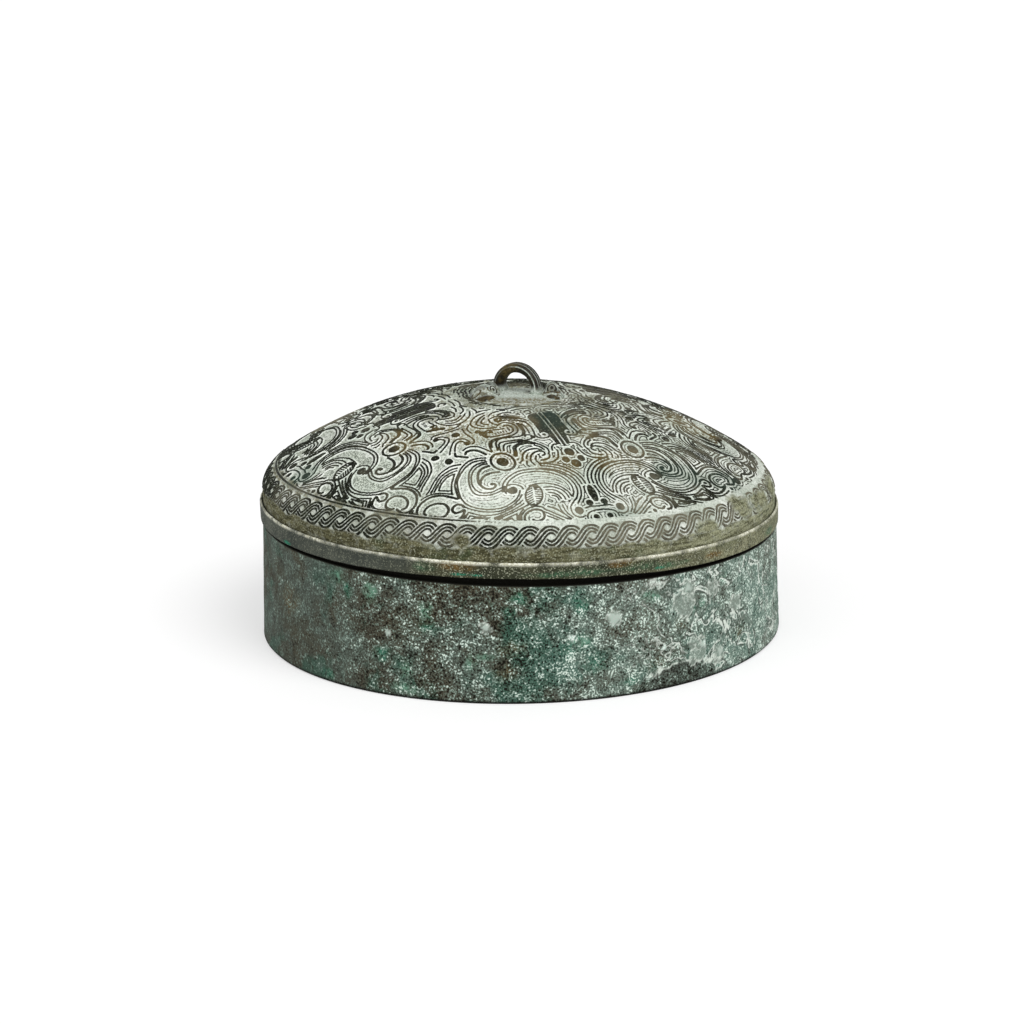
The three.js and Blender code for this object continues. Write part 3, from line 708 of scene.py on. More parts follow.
def ropeHeight(turn, arc):
    phase = np.radians(turn) * rope["turns"]
    up = rope["middle"] - arc
    result, covered = np.zeros(len(arc)), np.zeros(len(arc), bool)
    strands, half = [], rope["line"] / 2
    for start in (0, np.pi):
        slope = rope["swing"] * rope["turns"] / rope["radius"] * np.cos(phase + start)
        gap = (up - rope["swing"] * np.sin(phase + start)) / np.sqrt(1 + slope ** 2)
        strands.append((np.cos(phase + start) > 0, gap))
    for rising in (True, False):  # the upper strand first, which hides the lower
        for over, gap in strands:
            here = (over == rising) & (np.abs(gap) < rope["clear"]) & ~covered
            nearest = np.abs(gap - rope["pitch"] * np.clip(np.round(gap / rope["pitch"]), -1, 1))
            result[here] = fade(half + rope["soft"], half - rope["soft"], nearest)[here]
            covered |= here
    return result


# Dome of the lid, with the ornament in relief
dome = {
    "columns": 1792, "step": 0.3, "crown": 148.0, "shoulder": 10.0, "skirt": 3.2, "thick": 2.4,
    "flat": 20.0, "relief": 0.55, "ground": -0.22, "finest": 45.0,  # from there on, rings have all columns
    "quiet": (16.5, 14.0, 5.5),  # plain oval at the crown: half width, half depth and how far forward
    # arcs from the crown: the thin border line and its half width, the rope's ends, and a soiled strip
    "border": (88.7, 0.42), "ropeEnds": (90.0, 98.6), "strip": (86.2, 87.4, 89.8, 90.4),
    "outerDisc": (0.36, 0.5, 0.355), "innerDisc": (0.86, 0.86, 0.125),  # in the bake map: middle and radius
}
cornerRadius = domeRadius - dome["shoulder"]
skirtTop = domeFoot + dome["skirt"]
crownCentre = skirtTop - math.sqrt((dome["crown"] - dome["shoulder"]) ** 2 - cornerRadius ** 2)
shoulderTurn = math.atan2(cornerRadius, skirtTop - crownCentre)
crownTop = crownCentre + math.sqrt(dome["crown"] ** 2 - dome["flat"] ** 2)


# Radius, height and slope of the dome's face at arc lengths from the crown, set in by a depth
def domeFace(arc, depth=0.0):
    crown, shoulder = dome["crown"], dome["shoulder"]
    first = crown * shoulderTurn
    second = first + shoulder * (math.pi / 2 - shoulderTurn)
    onShoulder = np.clip(shoulderTurn + (arc - first) / shoulder, 0, math.pi / 2)
    slope = np.where(arc < first, arc / crown, onShoulder)
    bend = np.where(arc < first, crown - depth, shoulder - depth)
    radius = np.where(arc < first, 0, cornerRadius) + bend * np.sin(slope)
    height = np.where(arc < first, crownCentre, skirtTop) + bend * np.cos(slope)
    height = height - np.clip(arc - second, 0, None)
    return radius, np.minimum(height, crownTop - depth), np.where(height > crownTop - depth, 0, slope)


skirtEnd = dome["crown"] * shoulderTurn + dome["shoulder"] * (math.pi / 2 - shoulderTurn) + dome["skirt"]
# Crusts and worn places of the dome: (bearing, arc from the crown), half width and half depth in mm
domeCrusts = [
    ((-12.5, 96), 4, 3), ((-1, 98), 7, 1.6), ((-25, 97.6), 8, 1.5), ((44, 96.5), 7, 2.2),
    ((58, 93), 7, 5), ((-70, 98), 9, 1.4), ((150, 95), 8, 4), ((-140, 92), 10, 5), ((95, 95), 8, 4),
    ((68, 95), 9, 4), ((80, 95), 9, 4),
]
domeWorn = [
    ((0, 72), 21, 12), ((-4, 84), 15, 6), ((10, 84), 12, 5), ((30, 84), 12, 6), ((160, 60), 18, 14),
    ((-110, 70), 14, 12),
]
domeGreens = [
    ((20.7, 36), 8, 12), ((48, 74), 10, 9), ((60, 84), 9, 7), ((24, 84), 9, 5), ((-66, 84), 9, 6),
    ((180, 50), 12, 10),
]
domeGolds = [
    ((-22, 42), 15, 11), ((-5, 34), 10, 8), ((14, 62), 9, 8), ((-2, 56), 9, 5), ((-44, 55), 12, 6),
    ((30, 40), 11, 9), ((34, 62), 14, 7), ((90, 60), 14, 12), ((-150, 50), 14, 12),
]


# How much points at bearings and arcs from the crown lie in any of some soft-edged places
def domeShare(points, turn, arcs, radius, places, lump, seed, ragged):
    edge = ragged * ripple(points, lump, seed)
    share = np.zeros(len(arcs))
    for (bearingAt, arcAt), width, reach in places:
        aside = np.radians((turn - bearingAt + 180) % 360 - 180) * radius / width
        share = np.maximum(share, 1 - fade(0.5, 1.2, np.hypot(aside, (arcs - arcAt) / reach) + edge))
    return share


def makeDome():
    full, step, thick = dome["columns"], dome["step"], dome["thick"]
    # rings as arc, depth and columns, which are fewer towards the crown
    bands = ((1.5, 6, 1.5, 16), (6, 12, 1.0, 8), (12, 17, step, 4), (17, dome["finest"], step, 2))
    rows = []
    for start, end, gap, part in bands:
        rows += [(arc, 0.0, full // part) for arc in np.arange(start, end, gap)]
    fine = round((skirtEnd - dome["finest"]) / step)
    rows += [(arc, 0.0, full) for arc in np.linspace(dome["finest"], skirtEnd, fine)]
    rows += [(skirtEnd, thick, full), (skirtEnd - 1.5, thick, full // 2)]
    for start, end, count, part in ((skirtEnd - 3, 84, 12, 4), (81, 9, 25, 8), (6, 3, 2, 16)):
        rows += [(arc, thick, full // part) for arc in np.linspace(start, end, count)]
    counts = [count for arc, depth, count in rows]
    arcs = np.repeat([arc for arc, depth, count in rows], counts)
    depths = np.repeat([depth for arc, depth, count in rows], counts)
    angles = np.concatenate([2 * np.pi * np.arange(count) / count for count in counts])
    radius, height, slope = domeFace(arcs, depths)
    right, front = np.sin(angles), np.cos(angles)
    points = np.stack([radius * right, -radius * front, height], -1)
    normals = np.stack([np.sin(slope) * right, -np.sin(slope) * front, np.cos(slope)], -1)
    turn = np.degrees(angles)
    turn = np.where(turn > 180, turn - 360, turn)

    outside = depths == 0
    place = scrollPlace(arcs * right, arcs * front)
    halfWide, halfDeep, forward = dome["quiet"]
    aside, ahead = arcs * right / halfWide, (arcs * front - forward) / halfDeep
    quiet = fade(0.92, 1.06, np.hypot(aside, ahead) + 0.16 * ripple(points, 4, 3))
    borderAt, borderHalf = dome["border"]
    inField = quiet * fade(borderAt - 0.6, borderAt - 0.9, arcs)
    # the left stamp is open, the worn middle has faint lines between, and the right is dense
    echoed = np.interp(turn, [-180, -130, -60, -24, -8, 20, 34, 70, 90, 140, 180],
                       [0.5, 0.3, 0.15, 0.15, 0.75, 0.8, 0.9, 0.9, 0.5, 0.4, 0.5])
    relief = np.maximum(readField(scrollField, *place), echoed * readField(echoField, *place)) * inField
    wave = 0.5 + 0.5 * np.sin(2 * np.pi * (0.72 * arcs + 2.6 * crumbs(points, 6, 30)))
    filler = fade(0.45, 0.62, wave) * np.maximum(readField(emptyField, *place), fade(20, 17, arcs))
    relief = np.maximum(relief, filler * fade(30, 24, arcs) * quiet)
    ropeTop, ropeFoot = dome["ropeEnds"]
    band = fade(ropeTop - 0.3, ropeTop, arcs) * fade(ropeFoot, ropeFoot - 0.5, arcs)
    border = fade(borderHalf + 0.2, borderHalf - 0.2, np.abs(arcs - borderAt))
    border *= 0.8 - 0.5 * fade(-20, 5, turn)
    relief = np.maximum(np.maximum(relief, border), ropeHeight(turn, arcs) * band)
    opened = readField(openField, *place) * (1 - echoed) + readField(openEcho, *place) * echoed
    opened = opened * inField + 0.35 * (1 - inField)

    def within(places, lump, seed, ragged=1.0):
        return domeShare(points, turn, arcs, radius, places, lump, seed, ragged)

    # Crust that hides the rope's foot, worn stretches of the field, and stains
    crust = fade(97.3, 98.2, arcs + 2.6 * ripple(points, 4, 11))
    crust = np.maximum(crust, within(domeCrusts, 3, 12))
    green = within(domeGreens, 6, 17)
    worn = 0.5 * fade(0.52, 0.75, crumbs(points, 24, 5)) * (1 - green)
    worn = np.maximum(worn, within(domeWorn, 8, 13, 0.7))
    dim = fade(-4, 50, turn + 14 * ripple(points, 12, 27)) * fade(150, 100, turn)
    wornRope = band * fade(-2, 22, turn) * fade(150, 110, turn) * (0.55 + 0.4 * crumbs(points, 5, 28))
    worn = np.maximum(worn, wornRope)
    worn = np.maximum(worn, 0.5 * dim * fade(0.35, 0.6, crumbs(points, 9, 31)) * (1 - green))
    gold = within(domeGolds, 6, 18)
    relief = relief * (1 - 0.8 * crust) * (1 - 0.2 * worn)
    rough = 0.1 * ripple(points, 1.1, 15, 2) + 0.2 * ripple(points, 9, 16)
    offset = np.where(arcs > ropeFoot, 0, dome["ground"] * quiet) + dome["relief"] * relief + rough
    points += normals * (offset * outside * fade(skirtEnd - 0.6, skirtEnd - 3.4, arcs))[:, None]
    points[:, 2] += frontLift(points) * fade(domeFoot, domeFoot + 6, points[:, 2]) + lidLean(points)

    starts = np.concatenate([[0], np.cumsum(counts)])
    polygons = []
    for a, b, first, second in zip(counts, counts[1:], starts, starts[1:]):
        j, k = ringSteps(min(a, b))
        if a == b:
            ring = [first + j, second + j, second + k, first + k]
        elif b == 2 * a:
            ring = [first + j, second + 2 * j, second + 2 * j + 1, second + 2 * k, first + k]
        else:
            ring = [first + 2 * j, second + j, second + k, first + 2 * k, first + 2 * j + 1]
        polygons.append(np.stack(ring, -1))
    poles = np.array([[0, 0, crownTop], [0, 0, crownTop - thick]])
    j, k = ringSteps(counts[0])
    polygons += [fan(starts[-1], j, k), fan(starts[-1] + 1, starts[-2] + k, starts[-2] + j)]

    # Outer face as one disc of the bake map, inner face as a smaller one
    share = arcs / skirtEnd
    discs = (dome["outerDisc"], dome["innerDisc"])
    faces = [np.stack([x + size * share * right, y + size * share * front], -1) for x, y, size in discs]
    bakeMap = np.vstack([np.where(outside[:, None], *faces), [disc[:2] for disc in discs]])
    # Soil round the quiet oval, along the rope, among the lines near the crown, and on the left
    ring = hump(18.6, 3, arcs - 3 * ripple(points, 4, 19)) * fade(85, 50, np.abs(turn))
    soil = np.maximum(ring, band * (0.05 + 0.45 * fade(0.45, 0.65, crumbs(points, 7, 20))))
    soil = np.maximum(soil, 0.7 * fade(52, 34, arcs) * quiet * fade(0.38, 0.6, crumbs(points, 6, 29)))
    onLeft = fade(-8, -28, turn) * fade(-150, -110, turn)
    stripTop, stripFull, stripEnd, stripFoot = dome["strip"]
    strip = 0.8 * fade(stripTop, stripFull, arcs) * fade(stripFoot, stripEnd, arcs) + 0.35 * band
    soil = np.maximum(soil, strip * onLeft)
    values = {"relief": relief, "open": opened, "crust": crust, "worn": worn, "green": green, "gold": gold,
              "soil": soil, "dim": dim}
    values = {key: np.concatenate([value * outside, [0, 0]]) for key, value in values.items()}
    values["inside"] = np.concatenate([~outside, [False, True]])
    return meshPiece("lidDome", np.vstack([points, poles]), polygons, values, bakeMap)


def lidBronze():
    material = newMaterial("lidBronze")
    coords = objectCoords()
    keys = ("relief", "open", "crust", "worn", "green", "gold", "inside", "soil", "dim")
    relief, opened, crust, worn, green, gold, inside, soil, dim = (pointValue(key) for key in keys)
    fine = noise(coords, 2000, 0)
    grain = noise(coords, 1300, 0.6, 0.5, 0.4)
    clump = noise(coords, 300, 3, 0.6, 0.3)
    cloud = noise(coords, 80, 3, 0.55)
    wide = noise(coords, 20, 2, 0.5)
    flat = addNode("ShaderNodeVectorMath", {0: coords, 1: (1, 1, 6)}, operation="MULTIPLY").outputs[0]
    streak = noise(flat, 190, 3, 0.6, 0.3)
    # white deposit along the lines, stippled olive grey in the open
    white = blend(stretch(cloud, 0.38, 0.62), "f6faf2", "dbe4d8")
    white = blend(stretch(grain, 0.54, 0.64, 0, 0.35), white, "8a9284")
    ground = blend(stretch(fine, 0.43, 0.57), "d0d8c9", "6c7466")
    ground = blend(stretch(grain, 0.54, 0.64, 0, 0.75), ground, "464c40")
    ground = blend(stretch(wide, 0.46, 0.66, 0, 0.5), ground, "75725a")
    pale = stain(white, ground, opened, clump, 0.3, 0.56, 0.6, 1)
    pale = stain(pale, "8d7f58", gold, grain, 0.4, 0.62, 0, 0.6)
    pale = stain(pale, "7f8d80", green, cloud, 0.4, 0.6, 0.2, 0.5)
    pale = stain(pale, blend(stretch(grain, 0.4, 0.6), "a9b2a3", "878f7f"), dim, clump, 0.34, 0.62, 0, 0.35)
    pale = stain(pale, blend(stretch(grain, 0.4, 0.6), "45442f", "7f795a"), soil, clump, 0.34, 0.6, 0.2, 1)
    # raised lines, olive black to golden brown, grey where worn
    dark = blend(stretch(clump, 0.4, 0.62), "0d0f08", "202316")
    dark = stain(dark, "5c4f2e", gold, cloud, 0.32, 0.56, 0.15, 0.9)
    dark = stain(dark, "26332a", green, cloud, 0.3, 0.6, 0.4, 0.95)
    dark = stain(dark, "7b7765", worn, clump, 0.3, 0.6, 0.4, 0.95)
    dark = blend(stretch(grain, 0.6, 0.7, 0, 0.3), dark, "8f9684")
    edge = calc("ADD", relief, stretch(grain, 0.25, 0.75, -0.1, 0.1))
    colour = blend(stretch(edge, 0.38, 0.54), pale, dark)
    # olive crust and the plain band under the rope, streaked along the edge
    olive = blend(stretch(streak, 0.36, 0.62), "42412c", "68664b")
    olive = blend(stretch(cloud, 0.52, 0.68, 0, 0.6), olive, "3d4d33")
    olive = stain(olive, "989a7c", dim, streak, 0.36, 0.6, 0.15, 0.85)
    olive = blend(stretch(fine, 0.44, 0.32, 0, 0.45), olive, "23231a")
    olive = blend(stretch(fine, 0.6, 0.7, 0, 0.45), olive, "b9bca3")
    colour = stain(colour, olive, crust, clump, 0.3, 0.5, 0.85, 1)
    bare = blend(stretch(cloud, 0.4, 0.6), "4f4c3d", "6d6a57")
    colour = blend(inside, colour, bare)
    height = calc("ADD", times(fine, 0.5), grain)
    finishShader(colour, stretch(edge, 0.3, 0.7, 0.85, 0.6), height, 0.3, 0.06)
    return material


dress(makeDome(), lidBronze(), "lid", "lid_bronze", "lid_dome")

# Rim hoop, with a pale painted highlight along its top edge
rim = {
    "columns": 1000, "inset": 0.4, "bore": 2.4, "chamfer": 0.4, "ledgeFoot": 44.2, "ledgeTop": 45.4,
    "ledgeReach": 1.3, "bow": 1.85, "bowPower": 2.3, "gapPower": 6.0, "topSink": 0.35, "topRise": 1.05,
    "seatGap": 0.3, "seatDrop": 0.45,
    "crest": ((0, 0.7), (0.12, 0.25), (0.35, 0), (0.6, 0.1)),  # rounded top edge, in and down
}
# Places on the rim: bearing, height, width and height in mm
rimGolds = [(-13, 45, 14, 4), (45, 42.6, 9, 3), (120, 43.5, 12, 4), (-150, 43, 10, 4), (22, 45, 12, 3)]
rimGreens = [
    (-20, 43.6, 8, 4), (25.4, 43.2, 16, 4), (6.4, 42.2, 18, 3), (13, 42.8, 20, 4), (33, 42.4, 16, 3),
    (70, 42, 10, 4), (170, 43, 14, 4),
]
rimTeals = [
    (-12.5, 41.6, 6, 1.5), (-9, 41.5, 5, 1.2), (-60, 40.6, 6, 1.6), (30, 41.6, 5, 1.2), (100, 41, 6, 2),
]


def makeRim():
    boreRadius, outRadius = rimRadius - rim["bore"], rimRadius - rim["inset"]
    seat, top = domeRadius + rim["seatGap"], collarTop
    ledgeRadius = boreRadius - rim["ledgeReach"]
    outline = [(boreRadius, rimFoot), (outRadius - rim["chamfer"], rimFoot)]
    outline += [(outRadius, rimFoot + rim["chamfer"])]
    outline += [(outRadius - inward, top - down) for inward, down in rim["crest"]]
    outline += [(seat, top - rim["seatDrop"]), (seat, rim["ledgeTop"]), (ledgeRadius, rim["ledgeTop"]),
                (ledgeRadius, rim["ledgeFoot"]), (boreRadius, rim["ledgeFoot"]), (boreRadius, rimFoot)]
    steps = [0.8, 0.3, 0.4, 0.25, 0.25, 0.25, 0.25, 0.5, 0.9, 0.6, 1.0, 1.0]
    points, normals, polygons, bakeMap = turned(finePath(outline, steps), rim["columns"])
    radius, turn = np.hypot(points[:, 0], points[:, 1]), bearing(points)
    facing = (1 - points[:, 1] / radius) / 2
    lower = np.clip((rim["ledgeFoot"] - points[:, 2]) / (rim["ledgeFoot"] - rimFoot), 0, 1)
    upper = fade(rim["ledgeFoot"], top - 0.4, points[:, 2]) * (radius > seat - 0.1)
    outer = fade(outRadius - 1.0, outRadius - 0.3, radius)
    litEdge = outer * fade(top - 1.05, top - 0.4, points[:, 2])
    dents = 0.16 * ripple(points, 7, 21) + 0.14 * ripple(points, 1.6, 22, 2)
    dents += 0.5 * litEdge * (crumbs(points, 3.2, 23, 2) - 0.55)
    # the rim's inside and underside are painted near black: painted shade in the gap over the box's
    # shoulder
    under = np.maximum(1 - outer, fade(rimFoot + 0.35, rimFoot + 0.1, points[:, 2]))
    values = {"litEdge": litEdge, "under": under * (points[:, 2] < rim["ledgeTop"])}
    values["cream"] = fade(14, 58, turn + 24 * ripple(points, 9, 25, 2)) * fade(150, 110, turn)
    values["slate"] = fade(-14, -34, turn + 12 * ripple(points, 9, 26, 2)) * fade(-150, -110, turn)
    for key, places in (("gold", rimGolds), ("green", rimGreens), ("teal", rimTeals)):
        values[key] = spots(points, rimRadius, places, 40, 0.7, (0.3, 1.3))
    points += normals * (dents * outer)[:, None]
    bow = facing ** rim["bowPower"]
    points[:, 2] += rim["bow"] * lower * facing ** rim["gapPower"]
    points[:, 2] += upper * (rim["topRise"] * bow - rim["topSink"])
    points[:, 2] += lower * outer * 0.35 * (crumbs(points * [1, 1, 0], 11, 24, 2) - 0.35).clip(0)
    points[:, 2] += lidLean(points)
    return meshPiece("rimHoop", points, polygons, values, bakeMap)


def rimBronze():
    material = newMaterial("rimBronze")
    coords = objectCoords()
    keys = ("litEdge", "gold", "green", "teal", "cream", "slate", "under")
    litEdge, gold, green, teal, cream, slate, under = (pointValue(key) for key in keys)
    fine = noise(coords, 2200, 0)
    grain = noise(coords, 1500, 0.4, 0.5, 0.4)
    clump = noise(coords, 240, 5, 0.7, 0.3)
    cloud = noise(coords, 60, 3, 0.55)
    colour = blend(stretch(cloud, 0.38, 0.62), "35382a", "4f503c")
    dull = blend(stretch(cloud, 0.36, 0.64), "3d423c", "54584f")
    colour = blend(slate, colour, dull)
    creamy = blend(stretch(cloud, 0.4, 0.6), "7f8163", "979678")
    colour = stain(colour, creamy, cream, clump, 0.34, 0.6, 0.3, 0.85)
    colour = stain(colour, "6b532a", gold, clump, 0.34, 0.58, 0.25, 0.85)
    colour = stain(colour, "3f6148", green, clump, 0.34, 0.6, 0.25, 0.85)
    colour = stain(colour, "1c7a60", teal, clump, 0.36, 0.56, 0.2, 0.9)
    # pits and grains, few on the smooth left
    coarse = stretch(slate, 0, 1, 1, 0.4)
    pits = times(stretch(grain, 0.48, 0.36, 0, 0.6), coarse)
    colour = blend(pits, colour, "1f2017")
    grains = times(stretch(fine, 0.6, 0.7, 0, 0.55), coarse)
    colour = blend(grains, colour, "b9bca3")
    # painted highlight along the rim's top edge, broken up by noise
    pale = blend(stretch(fine, 0.4, 0.6), "f3f3e3", "c3c1a9")
    share = times(stretch(clump, 0.36, 0.54, 0.15, 1), stretch(cloud, 0.36, 0.58, 0.45, 1))
    share = times(litEdge, share)
    colour = blend(share, colour, pale)
    # near-black painted shade on the rim's inside and underside
    colour = blend(under, colour, "16150f")
    height = calc("ADD", times(fine, 0.5), grain)
    finishShader(colour, stretch(grain, 0.3, 0.7, 0.6, 0.85), height, 0.35, 0.08)
    return material


dress(makeRim(), rimBronze(), "lid", "rim_bronze", "rim_hoop")

# Wall of the box, with corrosion in low relief
wall = {
    "columns": 1080, "step": 0.54, "draft": 1.1, "chamfer": 0.6, "thick": 2.6, "shoulder": 39.2,
    "shoulderWidth": 1.8, "shoulderRound": 0.5, "lipThick": 1.6, "lipRound": 0.3, "lipRoot": 3.2,
    "lipSplay": 2.0, "rebate": 1.3, "rebateTop": 2.7,
}
# Places on the wall: bearing, height, width and height in mm
wallEmeralds = [
    (-39, 32, 4, 4.5), (-30.5, 13.5, 6, 4.5), (-45.5, 2.5, 6, 4), (-0.5, 35.6, 6, 4.6),
    (-2.5, 31, 3.4, 3), (12.7, 32.5, 5.4, 9), (39.2, 25.4, 3, 3), (22, 5, 9, 2.6), (10, 17.5, 8, 5),
    (80, 20, 7, 9), (120, 30, 8, 6), (165, 12, 9, 7), (-150, 25, 8, 8), (-95, 14, 8, 6), (16, 12, 10, 5),
    (-20, 25, 5, 4),
]
wallMints = [
    (-42, 36, 6, 5), (-33, 33, 5, 6), (-24.6, 9, 4, 4), (-19.7, 29.6, 4.4, 5.6), (12.5, 20, 7, 4),
    (-7.7, 15.8, 5, 2.4), (-10.4, 13, 4, 6), (41, 27, 3.4, 3), (-25, 3.4, 8, 3.6), (95, 26, 8, 5),
    (-120, 20, 8, 5), (150, 31, 7, 5), (48, 33, 6, 5), (28, 33, 8, 4),
]
wallBrowns = [
    (-1.9, 18.6, 8, 4.6), (-3.3, 10.5, 7, 6), (54, 12.6, 8, 7), (29, 9, 8, 5), (35.7, 20.6, 6, 6),
    (-60, 22, 12, 9), (130, 15, 10, 8), (-165, 10, 9, 7),
]
wallFlakes = [
    (19.4, 26.9, 4.2, 4.0), (-7.4, 25.4, 3.6, 3.2), (36.9, 28.4, 11, 9.5), (37.4, 33.4, 5, 6),
    (39.6, 11.2, 7, 9.5), (46.4, 8, 5, 7), (45, 31, 6, 5), (52, 23, 6, 5), (-28.7, 20.7, 2.6, 2.6),
    (110, 22, 10, 9), (-130, 14, 8, 7),
]
wallBares = [(35.5, 3.2, 32, 10), (140, 5, 16, 6)]
# Three-cornered chips of pale crust: bearing, height, reach and turn
wallChips = [
    (19.4, 26.9, 3.0, 20), (-7.4, 25.4, 1.5, 70), (-28.7, 20.7, 1.2, 0), (37.4, 33.4, 1.8, 100),
    (41.5, 12.4, 1.7, 60), (46.6, 8.2, 1.9, 10), (10.4, 21.5, 1.5, 40), (31, 14.4, 1.4, 80),
]


def makeWall():
    shoulderRadius = footRadius - wall["draft"]
    lipRadius = shoulderRadius - wall["shoulderWidth"]
    lipBore = lipRadius - wall["lipThick"]
    lipEnd = wall["shoulder"] - wall["lipRoot"]
    rebateRadius = footRadius - wall["thick"] + wall["rebate"]
    shoulder, roundOff, lipRound = wall["shoulder"], wall["shoulderRound"], wall["lipRound"]
    outline = [(footRadius - wall["chamfer"], wallFoot), (footRadius, wall["chamfer"]),
               (shoulderRadius, shoulder - roundOff),
               (shoulderRadius - 0.3 * roundOff, shoulder - 0.3 * roundOff),
               (shoulderRadius - roundOff, shoulder), (lipRadius, shoulder), (lipRadius, lipTop - lipRound),
               (lipRadius - lipRound, lipTop), (lipBore + lipRound, lipTop), (lipBore, lipTop - lipRound),
               (lipBore, lipEnd), (shoulderRadius - wall["thick"], lipEnd - wall["lipSplay"]),
               (footRadius - wall["thick"], wall["rebateTop"]), (rebateRadius, wall["rebateTop"]),
               (rebateRadius, wallFoot), (footRadius - wall["chamfer"], wallFoot)]
    steps = [0.3, wall["step"], 0.3, 0.3, 0.7, 1.0, 0.3, 0.6, 0.3, 2.0, 1.0, 2.5, 0.7, 1.4, 0.4]
    points, normals, polygons, bakeMap = turned(finePath(outline, steps), wall["columns"])
    radius = np.hypot(points[:, 0], points[:, 1])
    tall = points[:, 2].copy()
    onFace = radius > shoulderRadius - 0.1
    outer = onFace * fade(0.2, 1.2, tall) * fade(shoulder - 0.1, shoulder - 0.8, tall)

    values = {}
    soft, crisp = (0.1, 1.5), (0.8, 1.1)
    kinds = (("emerald", wallEmeralds, 1.3, soft), ("mint", wallMints, 1.4, soft),
             ("brown", wallBrowns, 1.2, soft), ("flake", wallFlakes, 1.7, crisp),
             ("bare", wallBares, 0.8, crisp))
    for key, places, ragged, edge in kinds:
        values[key] = spots(points, footRadius, places, 60, ragged, edge)
    turn = bearing(points)
    # the crust is thin and smooth on the left, pale and thick on the right
    values["cover"] = fade(-12, 66, turn) * fade(190, 120, turn) + 0.5 * fade(-120, -160, turn)
    values["smooth"] = fade(-22, -52, turn + 10 * ripple(points, 12, 83)) * fade(-150, -110, turn)
    chip = np.zeros(len(points))
    for turnAt, heightAt, reach, lean in wallChips:
        across = np.radians((turn - turnAt + 180) % 360 - 180) * footRadius
        way = (np.arctan2(tall - heightAt, across) - math.radians(lean)) % (2 * np.pi / 3) - np.pi / 3
        gap = np.hypot(across, tall - heightAt) * np.cos(way) * 2 + 0.6 * ripple(points, 1.6, 84, 2)
        chip = np.maximum(chip, fade(reach * 1.15, reach, gap))
    values["chip"] = chip * onFace
    plates = crumbs(points, 8, 80, 4)
    plate = np.maximum(fade(0.47, 0.53, plates) * values["cover"], fade(0.35, 0.65, values["flake"]))
    plate = plate * (1 - values["bare"])
    bareEdge = hump(0.4, 0.3, values["bare"]) * fade(0.02, 0.2, values["bare"]) * fade(4, 6, tall)
    flakeEdge = hump(0.5, 0.3, values["flake"]) * fade(0.02, 0.2, values["flake"])
    values["flakeEdge"] = np.maximum(flakeEdge, bareEdge)
    grit = ripple(points, 1.5, 81, 2)
    height = 0.16 * plate + (0.14 - 0.08 * values["smooth"]) * grit
    height += 0.1 * values["flake"] + 0.25 * values["chip"] + 0.5 * ripple(points, 22, 82) - 0.12
    points += normals * (height * outer)[:, None]
    points[:, 2] += lidLean(points) * np.clip(tall / shoulder, 0, 1)
    values["outer"] = onFace * fade(shoulder - 0.1, shoulder - 0.6, tall)
    # painted shade: near black on the lip and shoulder in the gap under the lid's rim, and a painted
    # contact shadow darkening the wall towards its foot
    underRim = (radius > lipRadius - 0.1) * fade(shoulder - 0.4, shoulder - 0.1, tall)
    values["paintedShade"] = np.maximum(underRim, fade(1.4, 0.5, tall) * 0.95)
    return meshPiece("boxWall", points, polygons, values, bakeMap)


